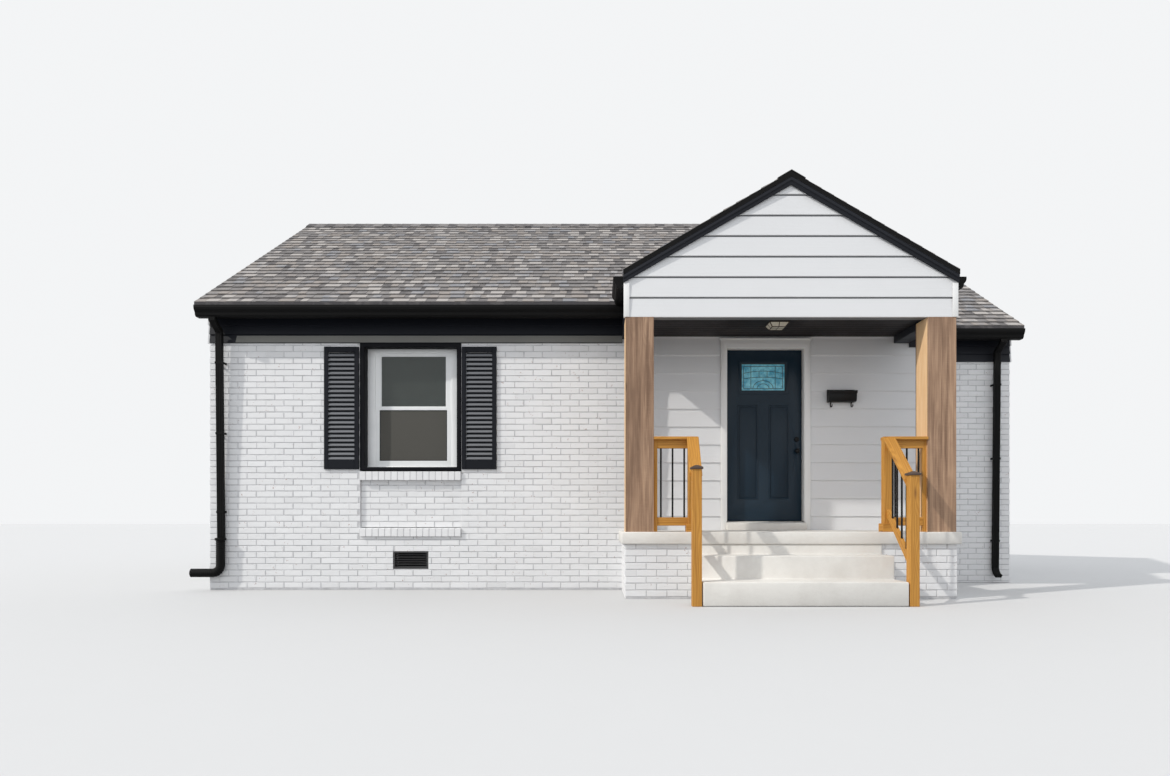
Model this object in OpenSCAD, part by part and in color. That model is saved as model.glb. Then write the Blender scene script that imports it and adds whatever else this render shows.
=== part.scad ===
// Single-storey brick bungalow with a side-gabled roof, a set-back side wing and a gabled entry porch.
// Modelled from the front left corner of the main block: X to the right, Y to the back, Z up from the
// lowest ground that a newel or wall meets. at_origin() then centres the house on its footprint.

/* [House] */
// Width of the main block over its brick faces
main_w = 8370; // [8100:10:9000]
// Depth of the main block over its brick faces
main_d = 6100; // [5600:10:7000]
// Width of the side wing
wing_w = 1380; // [1000:10:2200]
// Setback of the wing's front from the main front
wing_back = 1000; // [700:10:1500]
// Thickness of the brick walls
wall_t = 240; // [215:5:280]
// Height of the brick, where the frieze and gable siding start
brick_h = 2834; // [2780:2:2900]
// Height of the frieze, from the brick to the soffit
frieze_h = 295; // [270:1:330]
// Level of the room floor
floor_z = 770; // [700:5:780]
// Thickness of the floor structure
floor_t = 250; // [150:5:350]
// Thickness of the ceiling
ceiling_t = 40; // [20:5:80]
// Height of the room above its floor
room_h = 2360; // [2250:5:2450]

/* [Roof] */
// Pitch of the main roof as the rise over a run of 12
pitch = 8; // [6:0.5:9]
// Overhang of the roof edge in front of the walls
eave_over = 230; // [205:5:290]
// Overhang of the roof edge past the gable walls
rake_over = 60; // [55:1:100]
// Thickness of the roof slabs, measured upright
roof_t = 48; // [35:1:80]
// Height of the shingle edge above the soffit
edge_rise = 111; // [95:1:150]
// Width of one side of a ridge cap, on plan
cap_w = 150; // [100:5:200]
// Thickness of a ridge cap
cap_t = 20; // [12:1:25]
// Distance of the fascia's face from the wall
fascia_out = 175; // [130:5:180]
// Thickness of fascia, rake and soffit boards
board_t = 20; // [15:1:28]
// Upright depth of the rake boards
rake_board_d = 140; // [90:5:180]
// How far the gable siding stands out from the brick
gable_proud = 30; // [22:1:33]

/* [Frieze and siding] */
// Courses in the frieze
frieze_courses = 3; // [2:1:4]
// Thickness of the frieze at a course's lower edge
frieze_t = 22; // [16:1:30]
// Exposed height of a siding course
siding_exposure = 210.5; // [150:0.5:260]
// Thickness of siding at a course's lower edge
siding_butt = 20; // [14:1:21]
// Thickness of siding at a course's upper edge
siding_thin = 7; // [4:1:10]
// Height of the first full siding joint on the entry wall
entry_joint_z = 848; // [750:1:950]
// Height of the first siding joint on the porch gable above its lower edge
gable_joint_up = 190; // [80:1:210]

/* [Gutters and downspouts] */
// Depth of a gutter, fascia to lip
gutter_d = 125; // [100:5:150]
// Height of a gutter
gutter_h = 121; // [90:1:130]
// Thickness of gutter metal
gutter_t = 4; // [3:0.5:6]
// Gap between the roof slab and a gutter's top edge
gutter_gap = 2; // [1:0.5:8]
// Width of a downspout
spout_w = 76; // [60:1:100]
// Depth of a downspout
spout_d = 51; // [40:1:70]
// Distance of the left downspout's middle from the left corner
spout_x = 150; // [110:5:300]
// Distance of the wing's downspout's middle from the wing's corner
wing_spout_x = 205; // [110:5:300]
// Height of the offset between a gutter and its downspout
spout_drop = 100; // [80:5:160]
// How far a downspout's upper end leans out from the wall
spout_lean = 45; // [10:1:70]
// Height of the collar where the left downspout ends
collar_z = 600; // [520:5:800]
// Radius of the ribbed drain elbow
elbow_r = 50; // [40:1:55]
// Reach of the drain elbow past the left wall
elbow_reach = 180; // [120:5:300]
// Height of the drain elbow's outlet axis
elbow_z = 200; // [180:5:320]

/* [Windows] */
// Width of a window opening in the brick
win_w = 1162; // [1000:2:1300]
// Height of a window opening in the brick
win_h = 1465; // [1300:5:1470]
// Distance of the front window's middle from the left corner
win_x = 2303; // [1900:1:2700]
// Distance of the side windows' middles from the corners
side_win_in = 1500; // [1100:10:1800]
// Distance of the outer back windows' middles from the corners
back_win_in = 1900; // [1300:10:2300]
// Face width of the surround at the sides
trim_side = 50; // [30:1:80]
// Face width of the surround at head and foot
trim_head = 41; // [25:1:60]
// How far the surround stands out from the brick
trim_proud = 15; // [8:1:30]
// Distance of the window frame behind the brick face
frame_in = 115; // [60:5:115]
// Depth of the window frame
frame_d = 85; // [80:1:95]
// Face width of the frame's side members
frame_side = 88; // [40:1:110]
// Face height of the frame's head
frame_top = 50; // [30:1:80]
// Face height of the frame's sill
frame_foot = 22; // [15:1:50]
// Thickness of a sash
sash_t = 28; // [24:1:30]
// Gap between the two sashes
sash_gap = 2; // [1.5:0.5:4]
// Width of a sash's stiles
stile_w = 60; // [35:1:80]
// Height of a sash's rails
rail_h = 42; // [30:1:60]
// Thickness of the glass
glass_t = 6; // [4:1:12]
// Height of a rowlock brick sill
sill_h = 110; // [90:1:120]
// How far a brick sill stands out from the wall
sill_out = 34; // [15:1:50]
// Depth of a brick sill into the wall
sill_in = 90; // [60:5:100]
// Fall of a brick sill's top, back to front
sill_fall = 10; // [4:1:20]
// Depth of the recessed panel under the front window
recess_d = 35; // [15:1:50]
// Height of the brick between a foundation vent and the lower sill
vent_clear = 170; // [120:1:230]
// Height of the lower brick sill
low_sill_h = 102; // [80:1:110]
// Width of a foundation vent
vent_w = 406; // [300:1:450]
// Height of a foundation vent
vent_h = 203; // [150:1:220]
// Height of the vents' lower edge
vent_z = 241; // [150:1:280]
// Frame width of a foundation vent
vent_rim = 20; // [10:1:30]
// Louvres in a foundation vent
vent_slats = 6; // [4:1:8]

/* [Shutters] */
// Width of a shutter
shutter_w = 396; // [300:1:450]
// Height of a shutter
shutter_h = 1404; // [1250:1:1440]
// Height of the shutters' foot above the opening's foot
shutter_up = 16; // [0:1:40]
// Gap between shutter and surround
shutter_gap = 10; // [4:1:30]
// Thickness of a shutter
shutter_t = 32; // [25:1:45]
// Width of a shutter's stiles
shutter_stile = 48; // [35:1:70]
// Height of a shutter's top rail
shutter_top = 60; // [40:1:90]
// Height of a shutter's bottom rail
shutter_foot = 110; // [70:1:150]
// Louvres in a shutter
louvres = 24; // [16:1:30]

/* [Porch] */
// Distance of the porch's middle from the main block's right corner
porch_in = 1947; // [1900:1:1960]
// Distance of the porch posts' face in front of the main wall
porch_out = 920; // [900:5:1200]
// Pitch of the porch roof as the rise over a run of 12
porch_pitch = 7; // [6:0.25:8]
// Overhang of the porch roof past the side beams
porch_eave = 24; // [20:1:60]
// Overhang of the porch roof in front of the gable siding
porch_rake = 32; // [28:1:60]
// Height of the posts' top and the gable siding's lower edge
post_top = 2881; // [2850:1:2920]
// Height of the porch roof's edge above the posts' top
porch_eave_up = 476; // [465:1:510]
// Side of a square post
post_w = 290; // [200:2:320]
// Distance of a post's outer face from the porch's middle
post_out = 1691; // [1680:1:1700]
// Width of a side beam
beam_w = 180; // [120:2:200]
// Height of the porch ceiling above the posts' top
porch_ceiling_up = 78; // [76:1:110]
// Thickness of the porch ceiling
porch_ceiling_t = 20; // [10:1:40]
// Thickness of the porch gable wall with its siding
porch_gable_t = 110; // [80:2:160]
// Upright depth of the porch rake boards
porch_rake_d = 130; // [110:1:190]
// Width of the white corner boards
corner_w = 40; // [25:1:70]
// Thickness of the white corner boards
corner_t = 18; // [10:1:25]
// Top of the porch floor
slab_z = 684; // [640:1:690]
// Thickness of the porch slab
slab_t = 125; // [90:1:150]
// Lip of the slab over the brick base
slab_lip = 40; // [20:1:60]
// Width of the steps
steps_w = 1920; // [1700:10:1930]
// Distance of the steps' middle left of the porch's middle
stair_off = 35; // [0:1:40]
// Tread depth of a step
tread = 330; // [280:1:340]
// Thickness of the top riser in front of the brick base
top_riser_t = 25; // [15:1:35]
// Height of one riser
riser = 228; // [200:1:229]
// Side of the ceiling light at the ceiling
light_w = 220; // [180:2:300]
// Side of the ceiling light at its foot
light_foot_w = 148; // [120:2:170]
// Depth of the ceiling light below the ceiling
light_h = 50; // [45:1:90]

/* [Railings] */
// Side of a square newel
newel_w = 89; // [75:1:95]
// Distance of the upper newels' middles from the porch's middle
newel_x = 1003; // [990:1:1030]
// Distance of the lower newels' middles from the porch's middle
low_newel_x = 1015; // [1010:1:1050]
// Distance of the level railing's middle line behind the posts' face
rail_back = 50; // [50:1:100]
// Height of the level railing above the slab
rail_up = 975; // [900:1:1060]
// Thickness of a rail's flat cap
rail_cap_t = 31; // [25:1:40]
// Width of a rail's flat cap
rail_cap_w = 120; // [90:1:140]
// Height of the upright rail under the cap
sub_rail_h = 86; // [60:1:100]
// Thickness of rails and of the uprights at the posts
rail_t = 38; // [30:1:45]
// Gap between the slab and the level bottom rail
rail_gap = 63; // [40:1:90]
// Mean top of the lower newels above the ground
low_newel_h = 1255; // [1180:1:1320]
// How far the left lower newel stands above that mean, and the right one below it
newel_lift = 29; // [0:1:40]
// Height of the sloping handrail's top at the lower newel
stair_rail_z = 1222; // [1150:1:1250]
// Height of the sloping bottom rail's underside at the lower newel
stair_foot_z = 390; // [340:1:460]
// Diameter of the round balusters
baluster_d = 19; // [14:1:26]
// Spacing of the balusters
baluster_step = 120; // [90:1:130]
// Side of a newel cap
cap_side = 112; // [100:1:130]
// Height of a newel cap
cap_h = 38; // [25:1:60]

/* [Entry] */
// Distance of the entry wall's face behind the main front
entry_y = 200; // [150:5:240]
// Distance of the entry wall's left end from the porch's middle
entry_half = 1553; // [1530:1:1573]
// Thickness of the entry wall
entry_t = 140; // [110:1:150]
// Width of the door leaf
leaf_w = 914; // [860:1:920]
// Height of the door leaf
leaf_h = 2032; // [1980:1:2045]
// Height of the leaf's lower edge
leaf_z = 792; // [785:1:800]
// Thickness of the door leaf
leaf_t = 44; // [38:1:50]
// Clearance round the door leaf
leaf_gap = 7; // [7:0.5:9]
// Thickness of the door jambs
jamb_t = 32; // [25:1:40]
// Width of the casing at the sides
casing_w = 62; // [50:1:90]
// Height of the casing over the door
casing_top = 94; // [60:1:110]
// Lap of the door stop over the leaf's edge
stop_lap = 5; // [3:1:10]
// Gap between the door stop and the leaf
stop_gap = 5; // [5:0.5:8]
// Thickness of the casing
casing_t = 25; // [18:1:30]
// Width of the glass in the door
lite_w = 532; // [440:1:600]
// Height of the glass in the door
lite_h = 333; // [260:1:360]
// Distance of the glass's upper edge below the leaf's top
lite_down = 157; // [110:1:190]
// Thickness of the glass in the door
lite_t = 20; // [12:1:26]
// Width of the frame round the glass
lite_rim = 35; // [20:1:45]
// Width of a door panel
panel_w = 240; // [150:1:260]
// Height of a door panel
panel_h = 1114; // [900:1:1130]
// Distance of the panels' lower edge above the leaf's foot
panel_up = 259; // [200:1:300]
// Distance of a panel's middle from the leaf's middle
panel_off = 185; // [150:1:200]
// Height of the knob above the leaf's foot
knob_up = 830; // [780:1:880]
// Height of the deadbolt above the knob
bolt_up = 140; // [110:1:180]
// Distance of knob and bolt from the leaf's edge
backset = 62; // [55:1:75]
// Radius of the knob
knob_r = 27; // [22:1:32]
// Radius of the knob's spindle
spindle_r = 9; // [6:0.5:12]
// Running clearance of spindle and hinge pins
pin_fit = 0.05; // [0.03:0.01:0.09]
// Radius of a hinge pin
pin_r = 6; // [4:0.5:8]
// Radius of a hinge knuckle
knuckle_r = 11; // [9:0.5:14]
// Length of a hinge
hinge_h = 102; // [80:1:130]
// Distance of the mailbox's middle right of the door's middle
mail_x = 885; // [800:1:1000]
// Width of the mailbox
mail_w = 322; // [260:1:400]
// Height of the mailbox at its back
mail_h = 138; // [110:1:180]
// Depth of the mailbox
mail_d = 95; // [75:1:130]
// Height of the mailbox's foot above the slab
mail_up = 1500; // [1400:1:1600]
// Thickness of the mailbox's metal
mail_t = 3; // [2:0.5:5]

/* [Hidden] */

brick_white = [0.90, 0.90, 0.91];
siding_white = [0.93, 0.93, 0.92];
trim_white = [0.96, 0.96, 0.95];
night_blue = [0.09, 0.11, 0.16];
gutter_black = [0.08, 0.08, 0.09];
shingle_grey = [0.42, 0.40, 0.39];
concrete = [0.88, 0.87, 0.84];
post_brown = [0.45, 0.31, 0.22];
cedar = [0.85, 0.55, 0.22];
metal_black = [0.05, 0.05, 0.06];
bronze = [0.16, 0.12, 0.09];

$fn = 48;
over = 1;
high = 9000;
// Play between roof parts whose sloping faces meet
seam = 0.1;

soffit_z = brick_h + frieze_h;
win_z = brick_h - win_h;
recess_h = win_z - sill_h - low_sill_h - vent_clear - vent_h - vent_z;
house_w = main_w + wing_w;
slope = pitch / 12;
porch_slope = porch_pitch / 12;
eave_z = soffit_z + edge_rise;
ridge_y = main_d / 2;
ridge_z = eave_z + slope * (ridge_y + eave_over);
wing_ridge_y = (wing_back + main_d) / 2;
wing_ridge_z = eave_z + slope * (wing_ridge_y - wing_back + eave_over);
gutter_top = eave_z - roof_t - gutter_gap;
ceiling_z = floor_z + room_h;

porch_x = main_w - porch_in;
porch_half = post_out + porch_eave;
porch_eave_z = post_top + porch_eave_up;
porch_ridge_z = porch_eave_z + porch_slope * porch_half;
porch_ceiling_z = post_top + porch_ceiling_up;
gable_joint_z = post_top + gable_joint_up;
porch_left = porch_x - post_out;
porch_right = porch_x + post_out;
gable_left = porch_left;
gable_right = porch_right;
base_front = -porch_out;
stair_front = base_front - 2 * tread;
stair_x = porch_x - stair_off;
// Distance of the lower newels' faces behind the lowest riser
low_newel_in = 5;
low_newel_y = stair_front + newel_w / 2 + low_newel_in;
rail_y = base_front + rail_back;
rail_top = slab_z + rail_up;

opening_w = win_w - 2 * trim_side;
opening_h = win_h - 2 * trim_head;
daylight_w = opening_w - 2 * frame_side;
daylight_h = opening_h - frame_top - frame_foot;
sash_h = (daylight_h + rail_h) / 2;

entry_x = porch_x - entry_half;
entry_back = entry_y + entry_t;
leaf_back = entry_back;
leaf_front = leaf_back - leaf_t;
door_left = porch_x - leaf_w / 2;
door_right = porch_x + leaf_w / 2;
leaf_top = leaf_z + leaf_h;
jamb_half = leaf_w / 2 + leaf_gap + jamb_t;
jamb_top = leaf_top + leaf_gap + jamb_t;
hinge_x = door_left - leaf_gap / 2;
entry_courses = ceil((eave_z + slope * (eave_over + entry_back) - entry_joint_z) / siding_exposure) + 1;
hinge_y = leaf_back + knuckle_r;

reach_front = low_newel_y - cap_side / 2;
reach_back = main_d + fascia_out + gutter_d;
mid_x = (house_w + rake_over - elbow_reach) / 2;
mid_y = (reach_front + reach_back) / 2;

// Middle of each window on its wall's outer face, and the turn of that wall
windows = [
    [win_x, 0, 0],
    [0, side_win_in, -90],
    [0, main_d - side_win_in, -90],
    [back_win_in, main_d, 180],
    [house_w / 2, main_d, 180],
    [house_w - back_win_in, main_d, 180],
    [house_w, wing_ridge_y, 90]
];
// Middle of each foundation vent, in the same way
vents = [
    [win_x, 0, 0],
    [0, main_d / 2, -90],
    [(back_win_in + house_w / 2) / 2, main_d, 180],
    [house_w - (back_win_in + house_w / 2) / 2, main_d, 180],
    [house_w, wing_ridge_y, 90]
];

module at_origin() translate([-mid_x, -mid_y, 0]) children();

module box(x0, x1, y0, y1, z0, z1) translate([x0, y0, z0]) cube([x1 - x0, y1 - y0, z1 - z0]);

// Extrudes a (Y, Z) outline along X
module along_x(x0, x1) translate([x0, 0, 0]) rotate([90, 0, 90]) linear_extrude(x1 - x0) children();

// Extrudes an (X, Z) outline along Y
module along_y(y0, y1) translate([0, y1, 0]) rotate([90, 0, 0]) linear_extrude(y1 - y0) children();

module mirrored_about(x) {
    children();
    translate([2 * x, 0, 0]) mirror([1, 0, 0]) children();
}

module at_faces(places, z) for (p = places) translate([p[0], p[1], z]) rotate([0, 0, p[2]]) children();

// Upright outline of lapped boards: the first value is the outward offset, the second the height
function lap_points(z0, step, courses, butt, thin) = concat(
    [[0, z0]],
    [for (i = [0 : courses - 1]) each [[-butt, z0 + i * step], [-thin, z0 + (i + 1) * step]]],
    [[0, z0 + courses * step]]
);

// Region under the slabs of the main roof, as a (Y, Z) outline
module under_main() polygon([
    [-eave_over, 0], [main_d + eave_over, 0], [main_d + eave_over, eave_z - roof_t],
    [ridge_y, ridge_z - roof_t], [-eave_over, eave_z - roof_t]
]);

// Region under the slabs of the wing roof
module under_wing() polygon([
    [wing_back - eave_over, 0], [main_d + eave_over, 0], [main_d + eave_over, eave_z - roof_t],
    [wing_ridge_y, wing_ridge_z - roof_t], [wing_back - eave_over, eave_z - roof_t]
]);

// Region that the wing's roof and the back slope behind it fill
module wing_region() translate([0, seam]) polygon([
    [wing_back - eave_over, 0], [main_d + high, 0], [main_d + high, wing_ridge_z + high],
    [wing_ridge_y + over, wing_ridge_z + high], [wing_ridge_y, wing_ridge_z], [wing_back - eave_over, eave_z]
]);

// Region under the porch roof's slabs, as an (X, Z) outline
module under_porch() polygon([
    [porch_x - porch_half, 0], [porch_x + porch_half, 0], [porch_x + porch_half, porch_eave_z - roof_t],
    [porch_x, porch_ridge_z - roof_t], [porch_x - porch_half, porch_eave_z - roof_t]
]);

// Region above the underside of the main roof's front slab
module above_main_soffit() polygon([
    [-eave_over, eave_z - roof_t], [ridge_y, ridge_z - roof_t], [ridge_y, high], [-eave_over, high]
]);

// Region below the top of the main roof's front slab
module below_main_front() polygon([
    [-eave_over, 0], [-eave_over, eave_z], [ridge_y + over, ridge_z + slope * over], [ridge_y + over, 0]
]);

// Plan of the rooms, between the inner faces of the walls
module room_plan() polygon([
    [wall_t, wall_t], [entry_x, wall_t], [entry_x, entry_back], [main_w - wall_t, entry_back],
    [main_w - wall_t, wing_back + wall_t], [house_w - wall_t, wing_back + wall_t],
    [house_w - wall_t, main_d - wall_t], [wall_t, main_d - wall_t]
]);

module window_holes() at_faces(windows, win_z) {
    box(-win_w / 2, win_w / 2, -over, wall_t + over, 0, win_h);
    sill_pocket(sill_h);
}

module vent_holes() at_faces(vents, vent_z) box(-vent_w / 2, vent_w / 2, -over, wall_t + over, 0, vent_h);

// Rowlock sill with a sloped top, its upper back edge at z + h
module sill_outline(z, h) along_x(-win_w / 2, win_w / 2) polygon([
    [-sill_out, z], [sill_in, z], [sill_in, z + h], [-sill_out, z + h - sill_fall]
]);

// Pocket in the brick for a sill whose upper edge is at z = 0
module sill_pocket(h) box(-win_w / 2, win_w / 2, -over, sill_in, -h, over);

module under_recess() translate([win_x, 0, win_z - sill_h - recess_h]) children();

module house_floor() color(cedar) at_origin()
    translate([0, 0, floor_z - floor_t]) linear_extrude(floor_t) room_plan();

module house_ceiling() color(trim_white) at_origin()
    translate([0, 0, ceiling_z]) linear_extrude(ceiling_t) room_plan();

module front_wall() color(brick_white) at_origin() difference() {
    intersection() {
        box(0, entry_x, 0, wall_t, 0, high);
        along_x(-over, entry_x + over) under_main();
    }
    window_holes();
    vent_holes();
    under_recess() sill_pocket(low_sill_h);
    box(win_x - win_w / 2, win_x + win_w / 2, -over, recess_d, win_z - sill_h - recess_h, win_z - sill_h);
}

module left_wall() color(brick_white) at_origin() difference() {
    box(0, wall_t, wall_t, main_d - wall_t, 0, brick_h);
    window_holes();
    vent_holes();
}

module right_wall() color(brick_white) at_origin() difference() {
    box(house_w - wall_t, house_w, wing_back + wall_t, main_d - wall_t, 0, brick_h);
    window_holes();
    vent_holes();
}

module back_wall() color(brick_white) at_origin() difference() {
    intersection() {
        box(0, house_w, main_d - wall_t, main_d, 0, high);
        along_x(-over, house_w + over) under_main();
    }
    window_holes();
    vent_holes();
}

// Front of the wing with the return wall beside the porch
module wing_front_wall() color(brick_white) at_origin() {
    box(main_w - wall_t, main_w, entry_back, wing_back + wall_t, 0, brick_h);
    intersection() {
        box(main_w, house_w, wing_back, wing_back + wall_t, 0, high);
        along_x(main_w - over, house_w + over) under_wing();
    }
}

module entry_foundation() color(brick_white) at_origin()
    box(entry_x, main_w, entry_y, entry_back, 0, slab_z);

// A stretch of the entry wall: a stud wall with lapped siding on its face
module entry_stretch(x0, x1, z0) intersection() {
    box(x0, x1, entry_y, entry_back, z0, high);
    union() {
        box(x0, x1, entry_y + siding_butt, entry_back, z0, high);
        translate([0, entry_y + siding_butt, 0]) along_x(x0, x1) polygon(lap_points(
            entry_joint_z - siding_exposure, siding_exposure, entry_courses, siding_butt, siding_thin));
    }
    along_x(x0 - over, x1 + over) under_main();
}

module entry_wall_left() color(siding_white) at_origin()
    entry_stretch(entry_x, porch_x - jamb_half, slab_z);

module entry_wall_right() color(siding_white) at_origin()
    entry_stretch(porch_x + jamb_half, main_w, slab_z);

module entry_wall_head() color(siding_white) at_origin()
    entry_stretch(porch_x - jamb_half, porch_x + jamb_half, jamb_top);

module gable_siding(y0, y1, z0) along_y(y0, y1)
    polygon(lap_points(z0, siding_exposure, ceil((ridge_z - z0) / siding_exposure),
        siding_butt, siding_thin));

// Gable wall whose siding faces left of the wall's outer face at x = 0
module gable_wall(y0, y1, skin_y0, skin_y1) {
    box(0, wall_t, y0, y1, brick_h, high);
    box(-gable_proud + siding_butt, 0, skin_y0, skin_y1, brick_h, high);
    translate([-gable_proud + siding_butt, 0, 0]) gable_siding(skin_y0, skin_y1, brick_h);
}

module left_gable() color(siding_white) at_origin() intersection() {
    gable_wall(wall_t, main_d - wall_t, 0, main_d);
    along_x(-rake_over, wall_t + over) under_main();
}

module right_gable() color(siding_white) at_origin() intersection() {
    translate([house_w, 0, 0]) mirror([1, 0, 0])
        gable_wall(wing_back + wall_t, main_d - wall_t, wing_back, main_d);
    along_x(house_w - wall_t - over, house_w + rake_over) under_wing();
}

// Upper side of the main block, from the return wall up to the roof and above the wing's slab
module main_right_gable() color(siding_white) at_origin() difference() {
    intersection() {
        translate([main_w, 0, 0]) mirror([1, 0, 0])
            gable_wall(entry_back, wing_ridge_y, entry_y, wing_ridge_y);
        along_x(main_w - wall_t - over, main_w + rake_over) under_main();
    }
    box(main_w - wall_t - over, main_w, wing_back + wall_t, wing_ridge_y + over, 0, ceiling_z + ceiling_t);
    box(main_w - wall_t - over, main_w + over, 0, entry_back, 0, high);
    translate([0, wing_back, 0]) along_x(main_w, main_w + rake_over + over) polygon([
        [0, 0], [main_d, 0], [wing_ridge_y - wing_back, wing_ridge_z], [0, eave_z + slope * eave_over]
    ]);
}

module roof_front() color(shingle_grey) at_origin() along_x(-rake_over, main_w + rake_over) polygon([
    [-eave_over, eave_z - roof_t], [ridge_y, ridge_z - roof_t], [ridge_y, ridge_z], [-eave_over, eave_z]
]);

// Back slope of the main block and of the wing in one plane
module roof_back() color(shingle_grey) at_origin() difference() {
    along_x(-rake_over, house_w + rake_over) polygon([
        [ridge_y, ridge_z - roof_t], [main_d + eave_over, eave_z - roof_t],
        [main_d + eave_over, eave_z], [ridge_y, ridge_z]
    ]);
    box(main_w + rake_over, house_w + rake_over + over, 0, wing_ridge_y, 0, high);
}

module wing_roof() color(shingle_grey) at_origin() difference() {
    along_x(main_w + gable_proud, house_w + rake_over) polygon([
        [wing_back - eave_over, eave_z - roof_t], [wing_ridge_y - seam, wing_ridge_z - roof_t],
        [wing_ridge_y - seam, wing_ridge_z], [wing_back - eave_over, eave_z]
    ]);
    box(main_w, main_w + rake_over + seam, wing_ridge_y - roof_t / slope, wing_ridge_y + over, 0, high);
}

module porch_roof() color(shingle_grey) at_origin() difference() {
    along_y(base_front - porch_rake, ridge_y) polygon([
        [porch_x - porch_half, porch_eave_z], [porch_x - porch_half, porch_eave_z - roof_t],
        [porch_x, porch_ridge_z - roof_t], [porch_x + porch_half, porch_eave_z - roof_t],
        [porch_x + porch_half, porch_eave_z], [porch_x, porch_ridge_z]
    ]);
    translate([0, 0, seam]) along_x(porch_left - 2 * porch_eave, porch_right + 2 * porch_eave)
        below_main_front();
}

// Bent cap strip over a ridge at (u, z) whose sides fall by s
module cap_outline(u, z, s) translate([0, seam]) polygon([
    [u - cap_w, z - s * cap_w], [u, z], [u + cap_w, z - s * cap_w],
    [u + cap_w, z - s * cap_w + cap_t], [u, z + cap_t], [u - cap_w, z - s * cap_w + cap_t]
]);

module ridge_caps() color(gutter_black) at_origin() {
    along_x(-rake_over, main_w + rake_over) cap_outline(ridge_y, ridge_z, slope);
    along_x(main_w + rake_over + over, house_w + rake_over) cap_outline(wing_ridge_y, wing_ridge_z, slope);
    difference() {
        along_y(base_front - porch_rake, ridge_y) cap_outline(porch_x, porch_ridge_z, porch_slope);
        translate([0, 0, seam]) along_x(porch_left, porch_right) below_main_front();
    }
}

// A soffit board under one stretch of eave, from the wall at y = back out to the fascia
module soffit_board(x0, x1, back) box(x0, x1, -fascia_out + board_t, back, soffit_z, soffit_z + board_t / 2);

// A fascia under the roof slab, its top cut to the slope
module fascia_board(x0, x1) along_x(x0, x1) polygon([
    [-fascia_out, soffit_z], [-fascia_out + board_t, soffit_z],
    [-fascia_out + board_t, eave_z - roof_t - seam + slope * (eave_over - fascia_out + board_t)],
    [-fascia_out, eave_z - roof_t - seam + slope * (eave_over - fascia_out)]
]);

// Runs the eave pieces along the front left, the stub right of the porch, the wing and the back
module along_eaves(kind) {
    eave_piece(kind, -gable_proud, porch_left, 0);
    eave_piece(kind, porch_right, main_w + gable_proud, entry_y);
    translate([0, wing_back, 0]) eave_piece(kind, main_w + gable_proud + over, house_w + gable_proud, 0);
    translate([house_w, main_d, 0]) rotate([0, 0, 180])
        eave_piece(kind, -gable_proud, house_w + gable_proud, 0);
}

module eave_piece(kind, x0, x1, back) {
    if (kind == "soffit") soffit_board(x0, x1, back);
    if (kind == "fascia") fascia_board(x0, x1);
    if (kind == "gutter") translate([0, -fascia_out, gutter_top]) gutter(x0, x1);
}

module eave_soffits() color(night_blue) at_origin() along_eaves("soffit");

module fascias() color(gutter_black) at_origin() along_eaves("fascia");

// Outline of the boards under a roof's edge, from a front eave at y = front up to the peak and down
module rake_outline(front, peak_y, peak_z) {
    foot_z = eave_z - roof_t - seam + slope * (eave_over - fascia_out);
    inner_z = eave_z - rake_board_d + slope * (eave_over + fascia_out);
    difference() {
        polygon([
            [front - fascia_out, soffit_z], [main_d + fascia_out, soffit_z], [main_d + fascia_out, foot_z],
            [peak_y, peak_z - roof_t - seam], [front - fascia_out, foot_z]
        ]);
        polygon([
            [front + fascia_out, 0], [main_d - fascia_out, 0], [main_d - fascia_out, inner_z],
            [peak_y, peak_z - rake_board_d], [front + fascia_out, inner_z]
        ]);
    }
}

module rake_boards() color(gutter_black) at_origin() {
    along_x(-gable_proud - board_t, -gable_proud) rake_outline(0, ridge_y, ridge_z);
    along_x(house_w + gable_proud, house_w + gable_proud + board_t)
        rake_outline(wing_back, wing_ridge_y, wing_ridge_z);
    along_x(main_w + gable_proud, main_w + gable_proud + board_t) difference() {
        rake_outline(0, ridge_y, ridge_z);
        wing_region();
    }
}

// Lapped frieze on the wall plane y = 0
module frieze(x0, x1) along_x(x0, x1) polygon(lap_points(
    brick_h, frieze_h / frieze_courses, frieze_courses, frieze_t, siding_thin));

module frieze_boards() color(night_blue) at_origin() {
    frieze(0, porch_left);
    translate([0, entry_y, 0]) frieze(porch_right, main_w);
    translate([0, wing_back, 0]) frieze(main_w + gable_proud, house_w);
    translate([house_w, main_d, 0]) rotate([0, 0, 180]) frieze(0, house_w);
}

// Ogee-fronted gutter outline: back at y = 0, top at z = 0
module gutter_outline(d, h) polygon([
    [0, 0], [0, -h], [-d * 0.62, -h], [-d * 0.74, -h * 0.86], [-d * 0.79, -h * 0.62],
    [-d * 0.95, -h * 0.40], [-d, -h * 0.22], [-d, 0]
]);

// Open trough with closed ends
module gutter(x0, x1) {
    along_x(x0, x1) difference() {
        gutter_outline(gutter_d, gutter_h);
        translate([-gutter_t, gutter_t]) gutter_outline(gutter_d - 2 * gutter_t, gutter_h);
        translate([-gutter_d / 2, 0]) square([gutter_d - 2 * gutter_t, 2 * gutter_t], center = true);
    }
    for (x = [x0, x1 - gutter_t]) along_x(x, x + gutter_t) gutter_outline(gutter_d, gutter_h);
}

module eave_gutters() color(gutter_black) at_origin() along_eaves("gutter");

porch_gutter_top = porch_eave_z - roof_t - gutter_gap;

module porch_gutters() color(gutter_black) at_origin() mirrored_about(porch_x)
    translate([porch_left, 0, porch_gutter_top]) rotate([0, 0, -90])
        gutter(fascia_out + gutter_d, porch_out - corner_w);

spout_top = gutter_top - gutter_h;
spout_out = fascia_out + gutter_d / 2;
// Offset between outlet and pipe: its stub, its fold at the front and its upper end on the pipe
spout_stub = 15;
spout_fold = 25;
spout_neck = spout_top - spout_stub - spout_drop;
shoe_h = 130;
shoe_reach = 90;

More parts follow.
